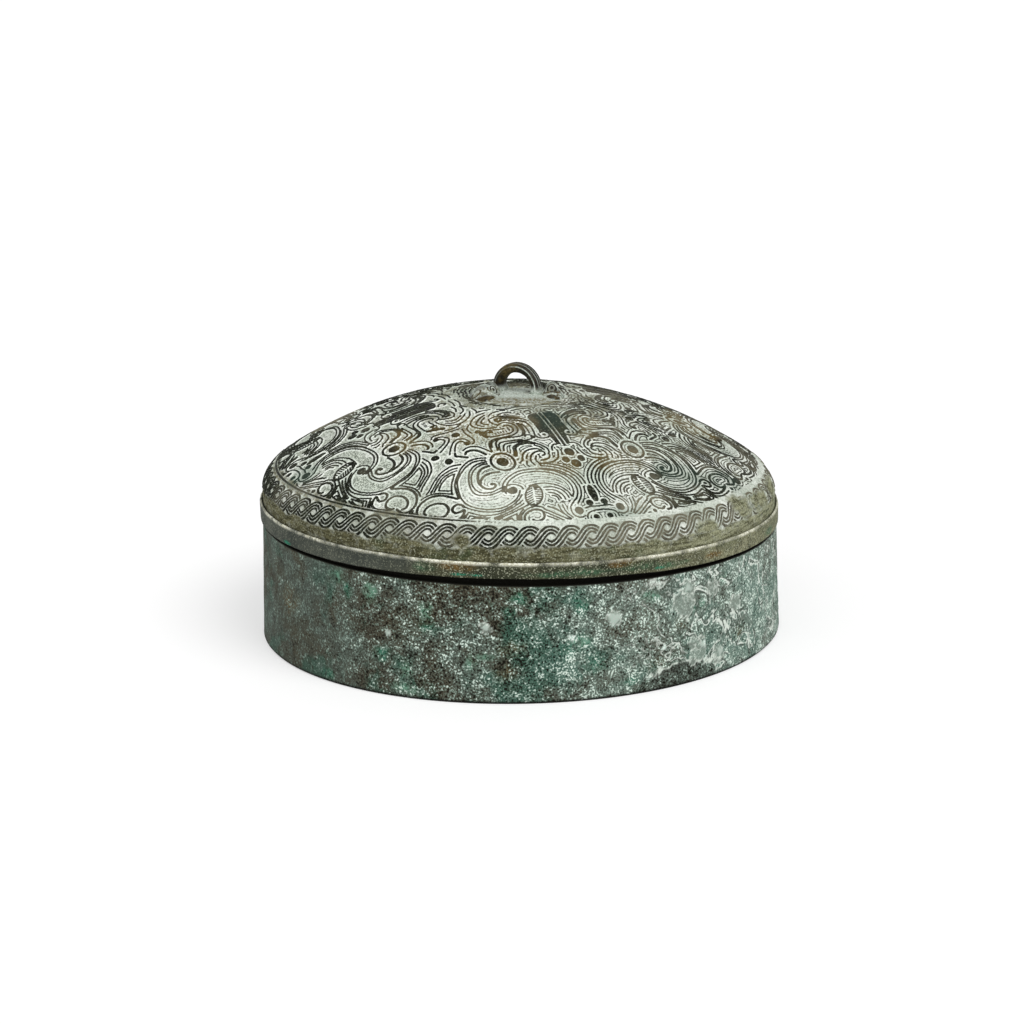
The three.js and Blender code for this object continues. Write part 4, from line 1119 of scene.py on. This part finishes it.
def wallBronze():
    material = newMaterial("boxBronze")
    coords = objectCoords()
    emerald, mint, brown, flake, bare, flakeEdge = (
        pointValue(key) for key in ("emerald", "mint", "brown", "flake", "bare", "flakeEdge"))
    cover, smooth, outer, paintedShade, chip = (
        pointValue(key) for key in ("cover", "smooth", "outer", "paintedShade", "chip"))
    fine = noise(coords, 2600, 0)
    grain = noise(coords, 1650, 0.4, 0.5, 0.6)
    clump = noise(coords, 240, 6, 0.72, 0.3)
    cloud = noise(coords, 62, 6, 0.68, 0.3)
    patch = noise(coords, 37, 6, 0.68, 0.3)
    sheet = noise(coords, 90, 3, 0.55, 0.6)
    # soft clouds of grey, teal and brown
    skin = blend(stretch(cloud, 0.38, 0.62), "4a473b", "515a51")
    skin = blend(stretch(patch, 0.49, 0.6, 0, 0.65), skin, "2f5f50")
    skin = blend(stretch(patch, 0.47, 0.37, 0, 0.4), skin, "4d4430")
    skin = stain(skin, "4e544d", smooth, cloud, 0.36, 0.62, 0.25, 0.7)
    crust = blend(stretch(patch, 0.38, 0.62), "7d857b", "748a7f")
    skin = stain(skin, crust, cover, cloud, 0.36, 0.62, 0.55, 0.85)
    for places, hue in ((brown, "5a4625"), (emerald, "14755a"), (mint, "74ab90")):
        skin = stain(skin, hue, places, clump, 0.38, 0.6, 0.1, 0.75)
    skin = blend(times(bare, 0.85), skin, "474b44")
    # one run of tones from dark pits over the skin to salt-like grains
    tone = calc("MULTIPLY_ADD", grain, 0.42, times(clump, 0.43))
    tone = calc("MULTIPLY_ADD", cloud, 0.15, tone)
    tone = calc("MULTIPLY_ADD", calc("SUBTRACT", tone, 0.5), stretch(smooth, 0, 1, 1, 0.6), 0.5)
    tone = calc("MULTIPLY_ADD", cover, 0.042, calc("ADD", tone, 0.006))
    tone = calc("MULTIPLY_ADD", bare, -0.05, tone)
    colour = blend(stretch(tone, 0.49, 0.4), skin, "15140d")
    colour = blend(stretch(tone, 0.5, 0.6, 0, 0.85), colour, "7f9488")
    colour = blend(stretch(tone, 0.57, 0.64), colour, "d9e8dc")
    # edges of crust sheets on the right: a pale line painted as the lit edge, with painted shade beside it
    level = calc("SUBTRACT", sheet, 0.5)
    onRight = times(stretch(cover, 0.3, 0.7), stretch(clump, 0.4, 0.52, 0, 1))
    onRight = calc("SUBTRACT", onRight, bare, clamp=True)
    shade = stretch(calc("ABSOLUTE", calc("ADD", level, 0.03)), 0.03, 0.01, 0, 0.7)
    colour = blend(times(shade, onRight), colour, "3b4038")
    litEdge = stretch(calc("ABSOLUTE", level), 0.018, 0.006, 0, 0.9)
    colour = blend(times(litEdge, onRight), colour, "dde5db")
    pale = blend(stretch(fine, 0.36, 0.6), "b9d2c3", "f0f8f1")
    colour = blend(times(chip, 0.95), colour, pale)
    colour = stain(colour, "8a968b", flake, fine, 0.36, 0.6, 0.35, 0.7)
    colour = stain(colour, "dbe4d9", flakeEdge, clump, 0.36, 0.5, 0.15, 0.95)
    plain = blend(stretch(cloud, 0.4, 0.62), "3f4138", "565b4f")
    colour = blend(outer, plain, colour)
    # near-black painted shade in the gap under the rim, and painted contact shadow along the foot
    colour = blend(paintedShade, colour, "12110d")
    height = calc("ADD", times(fine, 0.4), tone)
    finishShader(colour, stretch(grain, 0.35, 0.65, 0.7, 0.9), height, 0.35, 0.05)
    return material


boxBronze = wallBronze()
dress(makeWall(), boxBronze, "box", "box_bronze", "box_wall")


# A turned piece with closed ends on the axis: rows run from one pole to the other
def turnedBall(path, columns):
    points, normals, polygons, bakeMap = turned(path[1:-1], columns, closed=False)
    j, k = ringSteps(columns)
    first, last, end = len(points), len(points) + 1, len(points) - columns
    polygons += [fan(first, k, j), fan(last, end + j, end + k)]
    points = np.vstack([points, [[0, 0, path[0][1]], [0, 0, path[-1][1]]]])
    normals = np.vstack([normals, [[0, 0, -1], [0, 0, 1]]])
    bakeMap = np.vstack([bakeMap, [[0.5, 0], [0.5, 1]]])
    return points, normals, polygons, bakeMap


# Floor disc let into the wall's foot
base = {"columns": 240, "step": 1.5, "edge": 0.3, "roughness": 0.12, "underside": 0.15}


def makeBase():
    outline = [(0, baseFoot), (baseRadius - base["edge"], baseFoot), (baseRadius, baseFoot + base["edge"]),
               (baseRadius, baseTop - base["edge"]), (baseRadius - base["edge"], baseTop), (0, baseTop)]
    path = finePath(outline, [base["step"], 0.3, 0.8, 0.3, base["step"]])
    points, _, polygons, bakeMap = turnedBall(path, base["columns"])
    flat = fade(baseRadius - 0.5, baseRadius - 2, np.hypot(points[:, 0], points[:, 1]))
    top = points[:, 2] > (baseFoot + baseTop) / 2
    under = base["underside"] * (crumbs(points, 7, 91) + 0.2)
    points[:, 2] += np.where(top, base["roughness"] * ripple(points, 9, 90), under) * flat
    zero = np.zeros(len(points))
    values = {key: zero for key in ("flake", "bare", "flakeEdge", "smooth", "paintedShade", "chip")}
    values["outer"] = zero + 0.55
    values["cover"] = 0.5 * fade(0.5, 0.56, crumbs(points, 14, 92))
    values["brown"] = fade(0.5, 0.6, crumbs(points, 20, 93))
    values["emerald"] = fade(0.6, 0.66, crumbs(points, 11, 94))
    values["mint"] = fade(0.62, 0.68, crumbs(points, 8, 95))
    return meshPiece("boxBase", points, polygons, values, bakeMap)


dress(makeBase(), boxBronze, "box", "box_bronze", "base_plate")

# Boss under the handle, a low swelling bedded on the crown's flat seat
boss = {
    "columns": 240, "step": 0.3, "swell": (16.4, 11.5), "ahead": 4.5, "sink": 0.3, "bed": -0.35,
    "thin": 0.05, "pit": (4.6, -0.6), "pitReach": 0.8, "pitDepth": 0.5,
}


# Height of the boss's face, a low swelling that lies a little forward of the axis
def bossFace(x, y):
    reach = np.hypot(x / boss["swell"][0], (y + boss["ahead"]) / boss["swell"][1])
    return crownTop - boss["sink"] + (bossTop - crownTop + boss["sink"]) * fade(1.12, 0.72, reach)


def makeBoss():
    seat = crownTop + boss["bed"]
    face = seat + boss["thin"]
    path = [(r, seat) for r in np.arange(0, bossRadius, 2.0)]
    path += [(r, face) for r in np.arange(bossRadius, boss["step"] / 2, -boss["step"])] + [(0, face)]
    points, _, polygons, bakeMap = turnedBall(np.array(path), boss["columns"])
    top = points[:, 2] > (seat + face) / 2
    x, y = points[:, 0], points[:, 1]
    bumps = 0.3 * ripple(points, 4, 100) + 0.2 * ripple(points, 1.2, 101, 2)
    fromPit = np.hypot(x - boss["pit"][0], y - boss["pit"][1])
    pit = fade(boss["pitReach"] + 0.3, boss["pitReach"] - 0.2, fromPit)
    points[:, 2] = np.where(top, bossFace(x, y) + bumps - boss["pitDepth"] * pit, points[:, 2])
    front = fade(-9, -13.5, y + 3 * ripple(points, 4, 104))
    back = fade(3.5, 5.5, y + 2 * ripple(points, 3, 105))
    lines = fade(0.42, 0.58, 0.5 + 0.5 * np.sin(2.6 * y + 7 * crumbs(points, 5, 106)))
    chalk = np.maximum(1 - back, lines) * (1 - 0.35 * front)
    # the pit takes no chalk: painted shade darkens the hole
    values = {"chalk": chalk * (1 - pit), "knob": pit * top}
    values["gold"] = np.maximum(front, 0.5 * fade(0.55, 0.65, crumbs(points, 3, 102)))
    points[:, 2] += frontLift(points) + lidLean(points)
    return meshPiece("handleBoss", points, polygons, values, bakeMap)


def handleBronze():
    material = newMaterial("handleBronze")
    coords = objectCoords()
    chalk, knob, gold = (pointValue(key) for key in ("chalk", "knob", "gold"))
    fine = noise(coords, 2200, 2, 0.6, 0.3)
    grain = noise(coords, 1100, 3, 0.6, 0.4)
    cloud = noise(coords, 160, 3, 0.55)
    colour = blend(stretch(grain, 0.38, 0.62), "0f0e08", "2b2617")
    golden = blend(stretch(grain, 0.36, 0.6), "2e2916", "564a2a")
    colour = stain(colour, golden, gold, cloud, 0.34, 0.6, 0.3, 1)
    pale = blend(stretch(grain, 0.36, 0.62), "e4ece2", "a8b4a7")
    pale = blend(stretch(fine, 0.52, 0.62, 0, 0.6), pale, "6f776a")
    tan = blend(stretch(fine, 0.4, 0.6), "5c543a", "857e62")
    pale = stain(pale, tan, gold, grain, 0.42, 0.58, 0.1, 0.9)
    share = calc("SUBTRACT", chalk, times(knob, 0.9), clamp=True)
    share = times(share, stretch(grain, 0.3, 0.5, 0.5, 1))
    colour = blend(share, colour, pale)
    height = calc("ADD", times(fine, 0.4), grain)
    finishShader(colour, stretch(share, 0, 1, 0.42, 0.85), height, 0.3, 0.15)
    return material


handleSkin = handleBronze()
dress(makeBoss(), handleSkin, "lid", "handle_bronze", "handle_boss")

# Loop handle: a reeded strap bent over into an arch and turned on the crown
loop = {
    "radius": 6.9, "middle": 0.1, "proud": 1.5, "thick": (3.9, 2.7), "wide": 5.2, "turn": -22.0, "reeds": 3,
    "reedDepth": 0.42, "around": 96, "along": 170, "flare": 0.6, "flareRise": 3.0,
    "innerFlare": 0.35, "sideFlare": 0.4, "square": 0.62, "lift": 0.3,
}


def makeLoop():
    centre = loopTop - loop["radius"] - loop["proud"] + loop["lift"]
    leg, arch = centre - loopFoot, math.pi * loop["radius"]
    where = np.linspace(0, 2 * leg + arch, loop["along"])
    bend = np.clip((where - leg) / loop["radius"], 0, math.pi)
    lineX = -loop["radius"] * np.cos(bend)
    rising, falling = loopFoot + where, centre - (where - leg - arch)
    over = centre + loop["radius"] * np.sin(bend)
    lineZ = np.where(where < leg, rising, np.where(where > leg + arch, falling, over))
    around = 2 * np.pi * np.arange(loop["around"]) / loop["around"]
    waves = (np.cos(around), np.sin(around))
    side, out = (np.sign(wave) * np.abs(wave) ** loop["square"] for wave in waves)
    wide = loop["wide"] / 2 * side
    reed = np.abs(np.sin(np.pi * loop["reeds"] * (wide / loop["wide"] + 0.5)))
    out = np.where(out > 0, loop["proud"] * out - loop["reedDepth"] * (1 - reed) * fade(0.2, 0.8, out), out)
    leftThick, rightThick = loop["thick"]
    thick = leftThick + (rightThick - leftThick) * bend / math.pi - loop["proud"]
    out = np.where(out[None] > 0, out[None], out[None] * thick[:, None])
    outX, outZ = -np.cos(bend), np.sin(bend)
    swell = 1 + loop["flare"] * fade(bossTop + loop["flareRise"], bossTop, lineZ) * (lineZ > bossTop - 0.6)
    swell = swell[:, None]
    outward = out * (1 + np.where(out > 0, 1.0, loop["innerFlare"]) * (swell - 1))
    sideways = wide * (1 - loop["sideFlare"] + loop["sideFlare"] * swell)
    points = np.stack([lineX[:, None] + outX[:, None] * outward, sideways,
                       lineZ[:, None] + outZ[:, None] * outward], -1).reshape(-1, 3)
    count = loop["around"]
    quads = ringQuads(loop["along"], count)
    j = np.arange(count)
    ends = [np.array([j[::-1]]), np.array([(loop["along"] - 1) * count + j])]
    points += 0.16 * ripple(points, 2.2, 110, 2)[:, None] * np.array([[0.6, 1, 0.6]])
    side = np.repeat(bend, count)
    hollow = np.where(out > 0.3, fade(0.55, 0.95, 1 - reed)[None], 0.0).ravel()
    foot = fade(bossTop + 2.6, bossTop + 0.4, points[:, 2] + 2 * ripple(points, 2, 111))
    # lit makes the chalk in the reed grooves paler towards the right of the arch: a painted highlight
    lit = fade(1.1, 1.7, side + 0.6 * ripple(points, 3, 112))
    gold = fade(0.5, 1.0, side) * fade(1.9, 1.3, side) * fade(0.4, 0.6, crumbs(points, 2.4, 113) + 0.1)
    values = {"chalk": np.maximum((0.25 + 0.7 * lit) * hollow, 0.8 * foot), "knob": np.zeros(len(points))}
    values["gold"] = np.maximum(gold, 0.4 * fade(0.5, 0.65, crumbs(points, 1.6, 114)))
    turn = math.radians(loop["turn"])
    x, y = points[:, 0].copy(), points[:, 1].copy()
    points[:, 0] = x * math.cos(turn) - y * math.sin(turn) + loop["middle"]
    points[:, 1] = x * math.sin(turn) + y * math.cos(turn)
    points[:, 2] += lidLean(points)
    return meshPiece("loopHandle", points, [quads] + ends, values)


dress(makeLoop(), handleSkin, "lid", "handle_bronze", "loop_handle")

# Beast masks at the loop's feet, brow to the loop
mask = {
    "rings": 60, "around": 220, "sink": 0.5, "power": 1.9, "look": (0.8, 0.6), "pupil": (0.3, 0.2),
    "eyeRing": (0.72, 0.16), "eyeRise": 0.85, "socket": (1.2, 0.16), "curlRing": (0.7, 0.4),
    "curlGroove": (1.5, 0.4), "jawWidth": 0.8, "jawBend": 0.03, "roughness": 0.2,
}
# Each head: its middle, half sizes outward and across, rise, and the places of eyes, curls and jaw
heads = {
    "leftMask": {"node": "left_mask", "place": (-11.0, -4.0), "side": -1, "half": (5.6, 9.6), "rise": 2.9,
                 "eye": (-2.9, 3.0), "eyeSize": 1.7, "eyeWide": 1.0, "curl": (3.0, 4.3), "jaw": 8.4},
    "rightMask": {"node": "right_mask", "place": (12.2, -3.6), "side": 1, "half": (4.2, 7.4), "rise": 2.6,
                  "eye": (-0.4, 2.2), "eyeSize": 1.8, "eyeWide": 1.25, "curl": (2.8, 5.6), "jaw": 6.6},
}


# Height of a head over the boss, with a outward along the crown and b across, and how brown and dark it is
def maskHeight(a, b, head):
    side = np.abs(b)
    reach = np.hypot(a / head["half"][0], b / head["half"][1])
    body = head["rise"] * np.clip(1 - reach ** mask["power"], 0, None)
    # domed eyes that look out sideways, with a dark ring and pupil
    size = head["eyeSize"]
    u, v = (a - head["eye"][0]) / size / head["eyeWide"], (side - head["eye"][1]) / size
    top = np.sqrt(np.clip(1 - u * u - v * v, 0, 1))
    away = np.arccos(np.clip(mask["look"][0] * v + mask["look"][1] * top, -1, 1))
    dark = fade(0, 0.15, top) * np.maximum(fade(*mask["pupil"], away), hump(*mask["eyeRing"], away))
    socket = hump(*mask["socket"], np.hypot(u, v))
    curl = np.hypot(a - head["curl"][0], side - head["curl"][1])
    curlRing, curlGroove = hump(*mask["curlRing"], curl), hump(*mask["curlGroove"], curl)
    jaw = hump(head["jaw"], mask["jawWidth"], side + mask["jawBend"] * a * a) * fade(5.2, 3.4, np.abs(a))
    # brown in the eye sockets and curl grooves is painted shade in the grooves; along the jaw it is a brown
    # line of the mask
    brown = np.maximum.reduce([0.9 * socket, 0.8 * curlGroove, jaw])
    eye = size * mask["eyeRise"] * top - 0.12 * dark - 0.3 * socket
    return body + eye + 0.3 * curlRing - 0.3 * curlGroove + 0.5 * jaw, brown, dark


def makeMask(name, head):
    share = np.linspace(0, 1, mask["rings"])[1:] ** 0.85
    angle = 2 * np.pi * np.arange(mask["around"]) / mask["around"]
    a = np.append((share[:, None] * head["half"][0] * np.cos(angle)).ravel(), 0)
    b = np.append((share[:, None] * head["half"][1] * np.sin(angle)).ravel(), 0)
    flare = np.append(fade(0.93, 1.0, np.repeat(share, mask["around"])), 0)
    height, brown, dark = maskHeight(a, b, head)
    x, y = head["place"][0] + head["side"] * a, head["place"][1] + b
    rough = mask["roughness"] * ripple(np.stack([x, y, height], -1), 1.3, 120, 2)
    z = bossFace(x, y) + (height + rough) * (1 - flare) - mask["sink"] * flare
    points = np.stack([x, y, z], -1)
    points[:, 2] += frontLift(points) + lidLean(points)
    count = mask["around"]
    row = np.arange(len(share) - 1)[:, None] * count
    j, k = ringSteps(count)
    quads = np.stack([row + j, row + count + j, row + count + k, row + k], -1).reshape(-1, 4)
    polygons = [quads, fan(len(points) - 1, j, k), ((len(share) - 1) * count + j[::-1])[None]]
    if head["side"] < 0:
        polygons = [p[:, ::-1] for p in polygons]
    brown = fade(0.25, 0.75, np.clip(brown + 0.5 * ripple(points, 1.6, 121, 2), 0, 1))
    values = {"chalk": (0.9 - 0.88 * brown) * (1 - dark)}
    values["knob"] = np.maximum(dark, 0.6 * fade(0.48, 0.62, crumbs(points, 2.0, 122, 2)))
    values["gold"] = np.maximum(brown, 0.6 * fade(0.45, 0.6, crumbs(points, 3.0, 123, 2))) * (1 - dark)
    return meshPiece(name, points, polygons, values)


for maskName, head in heads.items():
    dress(makeMask(maskName, head), handleSkin, "lid", "handle_bronze", head["node"])

# Lumps of metal that hold the loop's tenons inside the lid
plug = {"columns": 72, "rows": 14, "edge": 0.2, "round": 0.55, "roughness": 0.5, "sunk": 0.3}


def makePlug(name, node, side):
    foot, top, _ = levels(node)
    low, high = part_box(node)
    middle, radius = (low + high) / 2 / mm, (high.x - low.x) / 2 / mm
    roundTall = plug["round"] * (top - foot)
    turns = np.linspace(0, math.pi / 2, plug["rows"])
    path = [(radius * math.sin(t), foot + roundTall * (1 - math.cos(t))) for t in turns]
    path += [(radius, top - plug["edge"]), (radius - plug["edge"], top), (radius / 2, top), (0, top)]
    points, normals, polygons, bakeMap = turnedBall(np.array(path), plug["columns"])
    points += normals * (plug["roughness"] * (crumbs(points, 3, 130 + side) - 0.55))[:, None]
    points += np.array([[middle.x, middle.y, 0]])
    points[:, 2] = np.minimum(points[:, 2], crownTop - dome["thick"] + plug["sunk"]) + lidLean(points)
    values = {"chalk": 0.3 * fade(0.4, 0.7, crumbs(points, 2, 131)), "knob": np.full(len(points), 0.3)}
    values["gold"] = 0.5 * fade(0.45, 0.65, crumbs(points, 3, 132))
    return meshPiece(name, points, polygons, values, bakeMap)


for plugName, node, side in (("leftPlug", "left_tenon_plug", -1), ("rightPlug", "right_tenon_plug", 1)):
    dress(makePlug(plugName, node, side), handleSkin, "lid", "handle_bronze", node)

# Pale floor, white where the camera sees it lit, with the object's soft shadow
stage = {"size": 24.0, "sink": 0.05, "floorGlow": 0.5, "floorTone": 0.56, "ambient": 0.5, "bounce": 0.8}


def seenRays():
    path = addNode("ShaderNodeLightPath")
    seen = calc("MAXIMUM", path.outputs["Is Camera Ray"], path.outputs["Is Glossy Ray"])
    return calc("MAXIMUM", seen, path.outputs["Is Transmission Ray"])


def makeStage():
    half, low = stage["size"] / 2 / mm, -stage["sink"]
    corners = np.array([[-half, -half, low], [half, -half, low], [half, half, low], [-half, half, low]])
    floor = meshPiece("floor", corners, [np.array([[0, 1, 2, 3]])])
    material = newMaterial("paleFloor")
    tone, bounce = stage["floorTone"], stage["bounce"]
    lit = addNode("ShaderNodeBsdfDiffuse", {"Color": (tone, tone, tone, 1)})
    glow = addNode("ShaderNodeEmission", {"Strength": stage["floorGlow"]})
    seen = addNode("ShaderNodeAddShader", {0: lit.outputs[0], 1: glow.outputs[0]})
    plain = addNode("ShaderNodeBsdfDiffuse", {"Color": (bounce, bounce, bounce, 1)})
    mixed = addNode("ShaderNodeMixShader", {0: seenRays(), 1: plain.outputs[0], 2: seen.outputs[0]})
    addNode("ShaderNodeOutputMaterial", {"Surface": mixed.outputs[0]})
    floor.data.materials.append(material)
    world = bpy.data.worlds.new("studio")
    startTree(world)
    soft = addNode("ShaderNodeBackground", {"Color": (1, 1, 1, 1), "Strength": stage["ambient"]})
    white = addNode("ShaderNodeBackground", {"Color": (1, 1, 1, 1), "Strength": 1.0})
    mixed = addNode("ShaderNodeMixShader", {0: seenRays(), 1: soft.outputs[0], 2: white.outputs[0]})
    addNode("ShaderNodeOutputWorld", {"Surface": mixed.outputs[0]})
    bpy.context.scene.world = world


# Soft lamps far away: name, direction they come from, strength and spread in degrees
lamps = [("keyLamp", (0.55, -0.65, 1.0), 1.55, 38), ("fillLamp", (-0.8, -0.9, 0.7), 0.7, 70)]


def makeLamps():
    for name, source, strength, spread in lamps:
        lamp = bpy.data.lights.new(name, "SUN")
        lamp.energy = strength
        lamp.angle = math.radians(spread)
        item = bpy.data.objects.new(name, lamp)
        item.rotation_euler = Vector(source).to_track_quat("Z", "Y").to_euler()
        bpy.context.scene.collection.objects.link(item)


# Camera at the photograph's angle, aimed at a point on the box's axis
camera = {
    "aim": 40.0, "distance": 1000.0, "tilt": 15.02, "roll": -1.0, "lens": 101.23, "sensor": 36.0,
    "shift": (-0.0072, -0.0007), "farthest": 100.0,
}


def makeCamera():
    data = bpy.data.cameras.new("camera")
    data.lens, data.sensor_width = camera["lens"], camera["sensor"]
    data.shift_x, data.shift_y = camera["shift"]
    data.clip_end = camera["farthest"]
    item = bpy.data.objects.new("camera", data)
    bpy.context.scene.collection.objects.link(item)
    tilt = math.radians(camera["tilt"])
    away = Vector((0, -math.cos(tilt), math.sin(tilt)))
    item.location = (Vector((0, 0, camera["aim"])) + camera["distance"] * away) * mm
    turn = away.to_track_quat("Z", "Y").to_matrix() @ Matrix.Rotation(math.radians(camera["roll"]), 3, "Z")
    item.rotation_euler = turn.to_euler()
    bpy.context.scene.camera = item


makeStage()
makeLamps()
makeCamera()
bpy.context.scene.view_settings.view_transform = "Standard"
print("stage, lamps and camera set")

bpy.context.view_layer.update()
